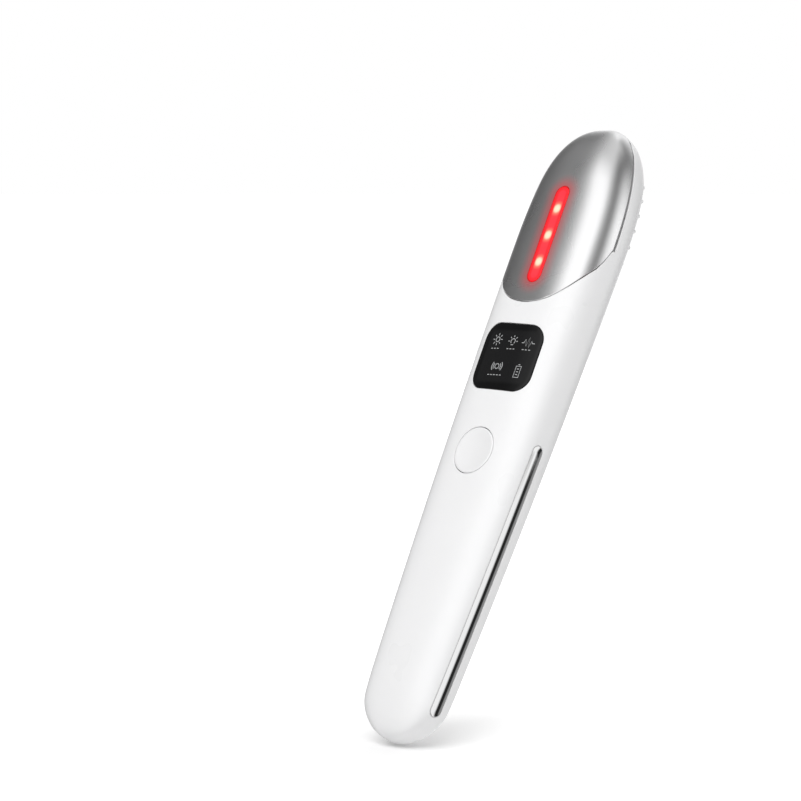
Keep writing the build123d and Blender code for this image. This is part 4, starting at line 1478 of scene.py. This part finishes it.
@dataclass(frozen=True)
class Icons:
    """The display's plain icons and level marks, as lines over the window. Millimetres."""

    sun: Point2 = (-4.4, 96.9)
    bulb: Point2 = (0.7, 96.55)
    wave: Point2 = (5.5, 96.3)
    shake: Point2 = (-1.7, 90.1)
    disc: float = 0.62
    arc_turn: int = 20
    arc_least: int = 6
    ray_turn: int = 45
    sun_rays: tuple[float, float] = (1.0, 1.55)
    bulb_rays: tuple[float, float] = (1.05, 1.5)
    bulb_radius: float = 0.66
    bulb_ends: tuple[int, int] = (-50, 230)
    bulb_base: tuple[float, float] = (0.4, 95.65)
    wave_steps: tuple[Point2, ...] = (
        (-1.9, 0), (-1.3, 0), (-0.9, 0.9), (-0.4, -0.8), (0.05, 1.4), (0.5, -1.1), (0.9, 0.5),
        (1.25, 0), (1.9, 0),
    )
    shake_radii: tuple[float, float] = (1.15, 1.65)
    shake_spread: int = 38
    dash_rows: tuple[float, float] = (94.6, 87.9)
    dash_pitch: float = 0.95
    dash_half: float = 0.28
    battery_sides: tuple[float, float] = (4.4, 5.9)
    battery_ends: tuple[float, float] = (87.6, 90.4)
    battery_tip: tuple[float, float] = (0.5, 0.4)
    battery_inset: float = 0.45
    battery_levels: tuple[float, ...] = (88.3, 89.0, 89.7)

    def arc(self, middle: Point2, radius: float, start: float, end: float) -> list[Point2]:
        """Points along an arc.

        Args:
            middle: The arc's centre.
            radius: Its radius.
            start: Direction of its first point in degrees.
            end: Direction of its last point in degrees.

        Returns:
            The points, with both ends.
        """
        u, v = middle
        count = max(self.arc_least, int(abs(end - start) / self.arc_turn))
        turns = [math.radians(start + (end - start) * i / count) for i in range(count + 1)]
        return [(u + radius * math.cos(turn), v + radius * math.sin(turn)) for turn in turns]

    def circle(self, middle: Point2) -> Stroke:
        """A small circle."""
        return self.arc(middle, self.disc, 0, 360)[:-1], True

    @staticmethod
    def rays(middle: Point2, inner: float, outer: float, angles: Sequence[int]) -> list[Stroke]:
        """Short lines away from a middle.

        Args:
            middle: The place that they point away from.
            inner: Distance of their near ends.
            outer: Distance of their far ends.
            angles: Their directions in degrees.

        Returns:
            One line for each direction.
        """
        u, v = middle
        strokes: list[Stroke] = []
        for angle in angles:
            c, s = math.cos(math.radians(angle)), math.sin(math.radians(angle))
            strokes.append(([(u + inner * c, v + inner * s), (u + outer * c, v + outer * s)], False))
        return strokes

    @staticmethod
    def level(start: float, end: float, v: float) -> Stroke:
        """A level line at a height v, from one side place to another."""
        return [(start, v), (end, v)], False

    def dashes(self, middle: float, v: float, each_side: int) -> list[Stroke]:
        """A level row of short dashes.

        Args:
            middle: Side place of the middle dash.
            v: Height of the row.
            each_side: How many dashes stand on each side of the middle one.

        Returns:
            One line for each dash.
        """
        places = [middle + step * self.dash_pitch for step in range(-each_side, each_side + 1)]
        return [self.level(u - self.dash_half, u + self.dash_half, v) for u in places]

    def battery(self) -> list[Stroke]:
        """A standing battery with its levels."""
        left, right = self.battery_sides
        low, high = self.battery_ends
        narrower, higher = self.battery_tip
        inset = self.battery_inset
        case: Stroke = ([(left, low), (right, low), (right, high), (left, high)], True)
        tip = self.level(left + narrower, right - narrower, high + higher)
        levels = [self.level(left + inset, right - inset, v) for v in self.battery_levels]
        return [case, tip] + levels

    def strokes(self) -> list[Stroke]:
        """Every line of the display: its points and whether it is closed."""
        bulb_u = self.bulb[0]
        base_half, base_v = self.bulb_base
        strokes = [self.circle(self.sun)]
        strokes += self.rays(self.sun, *self.sun_rays, range(0, 360, self.ray_turn))
        strokes.append((self.arc(self.bulb, self.bulb_radius, *self.bulb_ends), False))
        strokes.append(self.level(bulb_u - base_half, bulb_u + base_half, base_v))
        strokes += self.rays(self.bulb, *self.bulb_rays, range(0, 181, self.ray_turn))
        strokes.append(([(self.wave[0] + u, self.wave[1] + v) for u, v in self.wave_steps], False))
        for u, _ in (self.sun, self.bulb, self.wave):
            strokes += self.dashes(u, self.dash_rows[0], 1)
        strokes.append(self.circle(self.shake))
        for side in (0, 180):
            start, end = side - self.shake_spread, side + self.shake_spread
            strokes += [(self.arc(self.shake, radius, start, end), False) for radius in self.shake_radii]
        strokes += self.dashes(self.shake[0], self.dash_rows[1], 2)
        return strokes + self.battery()


@dataclass
class Controls(SubAssembly):
    """The display window with its marks, and the power button. Millimetres."""

    icons: Icons = Icons()
    window: Plate = Plate(0.0, 0.22, 1.1, 12)
    button: Plate = Plate(0.0, 0.22, 1.5, 24)
    button_lift: float = 0.02
    button_dish: float = 0.52
    button_rim: float = 0.95
    line: float = 0.21
    line_flatness: float = 0.12
    mark_lift: float = 0.012

    def dish(self, share: float) -> float:
        """Lift of the button's face: a raised rim round a shallow dish."""
        if share > self.button_rim:
            return self.button_lift
        return self.button_lift - self.button_dish * (1 - (share / self.button_rim) ** 2)

    def marks(self) -> bpy.types.Object:
        """The display's lines as thin flat prints on the window."""
        Bench.clear()
        curve = bpy.data.curves.new("display_marks", "CURVE")
        curve.dimensions = "3D"
        curve.bevel_depth = self.line / 2
        curve.bevel_resolution = 1
        curve.use_fill_caps = True
        for points, closed in self.icons.strokes():
            spline = curve.splines.new("POLY")
            spline.points.add(len(points) - 1)
            for point, (u, v) in zip(spline.points, points):
                point.co = (u, v, 0.0, 1.0)
            spline.use_cyclic_u = closed
        drawing = bpy.data.objects.new("display_marks", curve)
        bpy.context.collection.objects.link(drawing)
        Bench.take(drawing)
        bpy.ops.object.convert(target="MESH")
        marks = bpy.context.object
        for vertex in marks.data.vertices:
            u, v, over = vertex.co
            lift = self.mark_lift + over * self.line_flatness
            vertex.co = self.form.place(Side.FRONT, u, v, lift)
        Bench.tidy(marks)
        Bench.smooth(marks, ROUND_CREASE)
        return marks

    def build(self, insets: Insets) -> None:
        """Build the window, its marks and the button."""
        window = insets.window.piece("display_glass", self.window)
        self.keep(window, "black_window", replaced=("display_window",))
        self.keep(self.marks(), "display_marks")
        button = insets.button.piece("power_button_cap", self.button, self.dish)
        self.keep(button, "white_button", "button", ("power_button",))


@dataclass
class Trim(SubAssembly):
    """The chrome strips in their grooves and the cover of the charging port. Millimetres."""

    strip: Plate = Plate(0.08, 0.1, 0.9, 10)
    cover: Plate = Plate(0.05, 0.12, 1.2, 12)
    recess: float = 0.12
    trough: float = 0.38

    def strip_face(self, share: float) -> float:
        """Lift of a strip's hollow face: a shallow trough."""
        return -self.recess - self.trough * (1.0 - share**2)

    def build(self, insets: Insets) -> None:
        """Build both strips and the port cover."""
        for name, inset, node in (
            ("right_chrome_strip", insets.right_strip, "right_strip"),
            ("left_chrome_strip", insets.left_strip, "left_strip"),
        ):
            strip = inset.piece(name, self.strip, self.strip_face)
            self.keep(strip, "chrome_strip", replaced=(node,))
        cover = insets.cover.piece("port_cover_face", self.cover)
        self.keep(cover, "white_cover", "cover", ("port_cover",))


# ---------------------------------------------------------------------------------------------
# Studio
# ---------------------------------------------------------------------------------------------


@dataclass(frozen=True)
class Lamp:
    """A square soft lamp that faces the wand: direction in degrees, metres and watts."""

    name: str
    azimuth: float
    elevation: float
    distance: float
    size: float
    watts: float

    def away(self) -> Vector:
        """The direction from the wand to the lamp; azimuth turns from the front to the right."""
        across, up = math.radians(self.azimuth), math.radians(self.elevation)
        level = math.cos(up)
        return Vector((math.sin(across) * level, -math.cos(across) * level, math.sin(up)))

    def build(self, target: Vector) -> None:
        """Set the lamp up at its distance from a target in metres."""
        data = bpy.data.lights.new(self.name, "AREA")
        data.shape = "SQUARE"
        data.size = self.size
        data.energy = self.watts
        away = self.away()
        lamp = bpy.data.objects.new(self.name, data)
        lamp.location = target + away * self.distance
        lamp.rotation_euler = away.to_track_quat("Z", "Y").to_euler()
        lamp.visible_glossy = False
        bpy.context.collection.objects.link(lamp)


@dataclass
class Studio:
    """The camera, the pale floor, the soft lamps and the dome that the metal mirrors."""

    form: WandForm
    eye: tuple[float, float, float] = (0.434156, -0.418625, -0.087951)
    turn: tuple[float, float, float] = (106.1296, -19.7818, 42.8451)
    lens: float = 120.722
    sensor: float = 36.0
    clip: tuple[float, float] = (0.01, 200.0)
    floor_view: float = 4.5
    floor_radius: float = 60.0
    floor_level: float = 0.9
    floor_roughness: float = 0.9
    floor_gap: float = 0.5
    tail_step: float = 0.1
    tail_steps: int = 250
    # Painted shade: the floor's glow for the camera, dim near the tail and bright farther out, and the
    # distances in metres over which it rises.
    floor_glow_painted_shade: tuple[float, float] = (0.08, 0.68)
    floor_glow_painted_shade_span: tuple[float, float] = (0.0, 0.085)
    world_light: float = 0.50
    lamps: tuple[Lamp, ...] = (
        Lamp("front_lamp", 18.0, 25.0, distance=1.1, size=1.0, watts=8.0),
        Lamp("back_lamp", 212.0, 30.0, distance=1.3, size=1.0, watts=5.5),
    )
    dome_radius: float = 2.0
    dome_low_levels: tuple[Level, ...] = (
        (-180, 1.0), (-154, 1.0), (-130, 0.50), (-110, 0.20), (-88, 0.09), (-62, 0.15),
        (-44, 0.17), (-31, 0.40), (-22, 0.78), (-12, 1.2), (30, 1.2), (44, 0.80), (58, 0.60),
        (72, 0.40), (84, 0.33), (94, 0.24), (100, 0.02), (119, 0.02), (125, 0.50), (131, 0.92),
        (142, 1.0), (180, 1.0),
    )
    dome_levels: tuple[Level, ...] = (
        (-180, 0.45), (-158, 0.95), (-130, 0.90), (-108, 0.24), (-88, 0.10), (-62, 0.15),
        (-44, 0.168), (-31, 0.40), (-22, 0.78), (-12, 1.2), (32, 1.25), (47, 0.82), (59, 0.44),
        (71, 0.31), (80, 0.25), (90, 0.23), (98, 0.42), (110, 0.78), (120, 1.1), (130, 1.3),
        (142, 1.1), (152, 0.40), (168, 0.18), (180, 0.30),
    )
    dome_top_levels: tuple[Level, ...] = (
        (-180, 0.60), (-150, 1.0), (-125, 0.90), (-105, 0.35), (-88, 0.13), (-60, 0.25),
        (-40, 0.42), (-17, 0.56), (10, 0.64), (51, 0.66), (65, 0.42), (78, 0.20), (100, 0.10),
        (135, 0.11), (160, 0.20), (180, 0.60),
    )
    dome_low_span: tuple[float, float] = (13.5, 17.5)
    dome_top_span: tuple[float, float] = (30.0, 52.0)
    dome_zenith_span: tuple[float, float] = (52.0, 76.0)
    dome_zenith_levels: tuple[Level, ...] = (
        (-180, 0.60), (-150, 1.0), (-120, 1.1), (-90, 0.75), (-60, 0.62), (0, 0.66), (60, 0.70),
        (110, 0.62), (145, 0.38), (165, 0.38), (180, 0.60),
    )

    def camera(self) -> None:
        """The camera, from the front right and a little below."""
        data = bpy.data.cameras.new("main_camera")
        data.lens = self.lens
        data.sensor_width = self.sensor
        data.clip_start, data.clip_end = self.clip
        camera = bpy.data.objects.new("main_camera", data)
        camera.location = self.eye
        camera.rotation_euler = [math.radians(angle) for angle in self.turn]
        bpy.context.collection.objects.link(camera)
        bpy.context.scene.camera = camera

    def world(self) -> None:
        """An even pale world: plain light, and white where it is seen or mirrored."""
        world = bpy.data.worlds.new("studio_world")
        world.use_nodes = True
        bpy.context.scene.world = world
        recipe = Recipe(world.node_tree)
        background = world.node_tree.nodes["Background"]
        background.inputs["Color"].default_value = grey(1.0)
        light = recipe.math("MULTIPLY_ADD", recipe.seen(), 1.0 - self.world_light, self.world_light)
        recipe.link(light, background.inputs["Strength"])

    def floor_normal(self) -> Vector:
        """The floor's upward direction, as the camera sees it from a little above."""
        axes = Euler([math.radians(angle) for angle in self.turn]).to_matrix()
        angle = math.radians(self.floor_view)
        return (axes.col[1] * math.cos(angle) + axes.col[2] * math.sin(angle)).normalized()

    def lowest(self, normal: Vector) -> Vector:
        """The place of the tail that lies lowest over the floor, in metres."""
        places = (
            self.form.section_point(math.radians(turn), step * self.tail_step) * MM
            for step in range(1, self.tail_steps)
            for turn in range(0, 360, 6)
        )
        return min(places, key=lambda place: place.dot(normal))

    def floor_material(self) -> bpy.types.Material:
        """A pale matt floor, clear from below, whose glow for the camera is painted: dim near the tail,
        which paints shade round the wand, and bright farther out, which paints over the lamp's shadow
        there.
        """
        material = bpy.data.materials.new("studio_floor")
        material.use_nodes = True
        recipe = Recipe(material.node_tree)
        shader = material.node_tree.nodes["Principled BSDF"]
        shader.inputs["Base Color"].default_value = grey(self.floor_level)
        shader.inputs["Roughness"].default_value = self.floor_roughness
        shader.inputs["Specular IOR Level"].default_value = 0.0
        shader.inputs["Emission Color"].default_value = grey(1.0)
        away = recipe.node("ShaderNodeVectorMath", operation="LENGTH")
        recipe.link(recipe.node("ShaderNodeTexCoord").outputs["Object"], away.inputs[0])
        # Painted shade: the glow is dimmer near the tail, darkening the floor round the wand, and
        # brighter farther out, covering the lamp's shadow.
        lift = recipe.spread(away.outputs["Value"], *self.floor_glow_painted_shade_span, *self.floor_glow_painted_shade)
        lift = recipe.math("MULTIPLY", recipe.seen(), lift)
        recipe.link(lift, shader.inputs["Emission Strength"])
        clear = recipe.node("ShaderNodeBsdfTransparent")
        mixer = recipe.node("ShaderNodeMixShader")
        recipe.link(recipe.node("ShaderNodeNewGeometry").outputs["Backfacing"], mixer.inputs[0])
        recipe.link(shader.outputs[0], mixer.inputs[1])
        recipe.link(clear.outputs[0], mixer.inputs[2])
        recipe.link(mixer.outputs[0], material.node_tree.nodes["Material Output"].inputs["Surface"])
        return material

    def floor(self) -> None:
        """A pale floor under the tail tip, seen only from above."""
        normal = self.floor_normal()
        Bench.clear()
        bpy.ops.mesh.primitive_circle_add(vertices=96, radius=self.floor_radius, fill_type="NGON")
        floor = bpy.context.object
        floor.name = floor.data.name = "studio_floor"
        base = self.lowest(normal) - normal * self.floor_gap * MM
        turn = Vector((0, 0, 1)).rotation_difference(normal).to_matrix().to_4x4()
        floor.data.transform(Matrix.Translation(base) @ turn)
        floor.data.materials.append(self.floor_material())
        floor.visible_glossy = False

    @staticmethod
    def dome_band(
        recipe: Recipe, turn: bpy.types.NodeSocket, levels: Sequence[Level]
    ) -> bpy.types.NodeSocket:
        """A soft ramp of brightness round the dome.

        Args:
            recipe: The dome's material.
            turn: The direction round the dome, as a share of a whole turn.
            levels: Pairs of degrees and brightness, from the back round by the left.

        Returns:
            The brightness.
        """
        ramp = recipe.node("ShaderNodeValToRGB")
        ramp.color_ramp.interpolation = "EASE"
        elements = ramp.color_ramp.elements
        for index, (angle, level) in enumerate(levels):
            position = angle / 360.0 + 0.5
            element = elements[index] if index < 2 else elements.new(position)
            element.position = position
            element.color = grey(level)
        recipe.link(turn, ramp.inputs["Fac"])
        return ramp.outputs["Color"]

    def dome(self) -> None:
        """A dome that only mirrors see: a soft bright front and darker cards at both sides."""
        Bench.clear()
        bpy.ops.mesh.primitive_uv_sphere_add(segments=48, ring_count=24, radius=self.dome_radius)
        dome = bpy.context.object
        dome.name = dome.data.name = "mirror_dome"
        with Bench.editing(dome):
            bpy.ops.mesh.select_all(action="SELECT")
            bpy.ops.mesh.flip_normals()
        material = bpy.data.materials.new("mirror_dome")
        material.use_nodes = True
        recipe = Recipe(material.node_tree)
        shader = material.node_tree.nodes["Principled BSDF"]
        shader.inputs["Base Color"].default_value = grey(0.0)
        shader.inputs["Specular IOR Level"].default_value = 0.0
        shader.inputs["Emission Strength"].default_value = 1.0
        x, y, z = recipe.axes()
        turn = recipe.math("ARCTAN2", x, recipe.math("MULTIPLY", y, -1.0))
        turn = recipe.math("MULTIPLY_ADD", turn, 0.5 / math.pi, 0.5)
        rise = recipe.math("ARCSINE", recipe.math("DIVIDE", z, self.dome_radius))
        glow = self.dome_band(recipe, turn, self.dome_low_levels)
        for span, levels in (
            (self.dome_low_span, self.dome_levels),
            (self.dome_top_span, self.dome_top_levels),
            (self.dome_zenith_span, self.dome_zenith_levels),
        ):
            start, end = (math.radians(angle) for angle in span)
            over = recipe.spread(rise, start, end, 0.0, 1.0)
            glow = recipe.mix(over, glow, self.dome_band(recipe, turn, levels))
        recipe.link(glow, shader.inputs["Emission Color"])
        dome.data.materials.append(material)
        for ray in ("camera", "diffuse", "transmission", "volume_scatter", "shadow"):
            setattr(dome, "visible_" + ray, False)

    def build(self) -> None:
        """Set up the studio."""
        bpy.context.scene.view_settings.view_transform = "Standard"
        self.camera()
        self.world()
        self.floor()
        self.dome()
        for lamp in self.lamps:
            lamp.build(Vector((0.0, 0.0, self.form.length * MM / 2)))


def main() -> None:
    """Build the wand's pieces in order, then the studio."""
    logging.basicConfig(level=logging.INFO, format="%(message)s")
    form = WandForm()
    seam = HeadSeam()
    palette = Palette()
    palette.dress_frame()
    insets = Insets(form)
    Shell(form, palette).build(insets, seam)
    MassagePad(form, palette).build(insets)
    Controls(form, palette).build(insets)
    Trim(form, palette).build(insets)
    Studio(form).build()


if __name__ == "__main__":
    main()
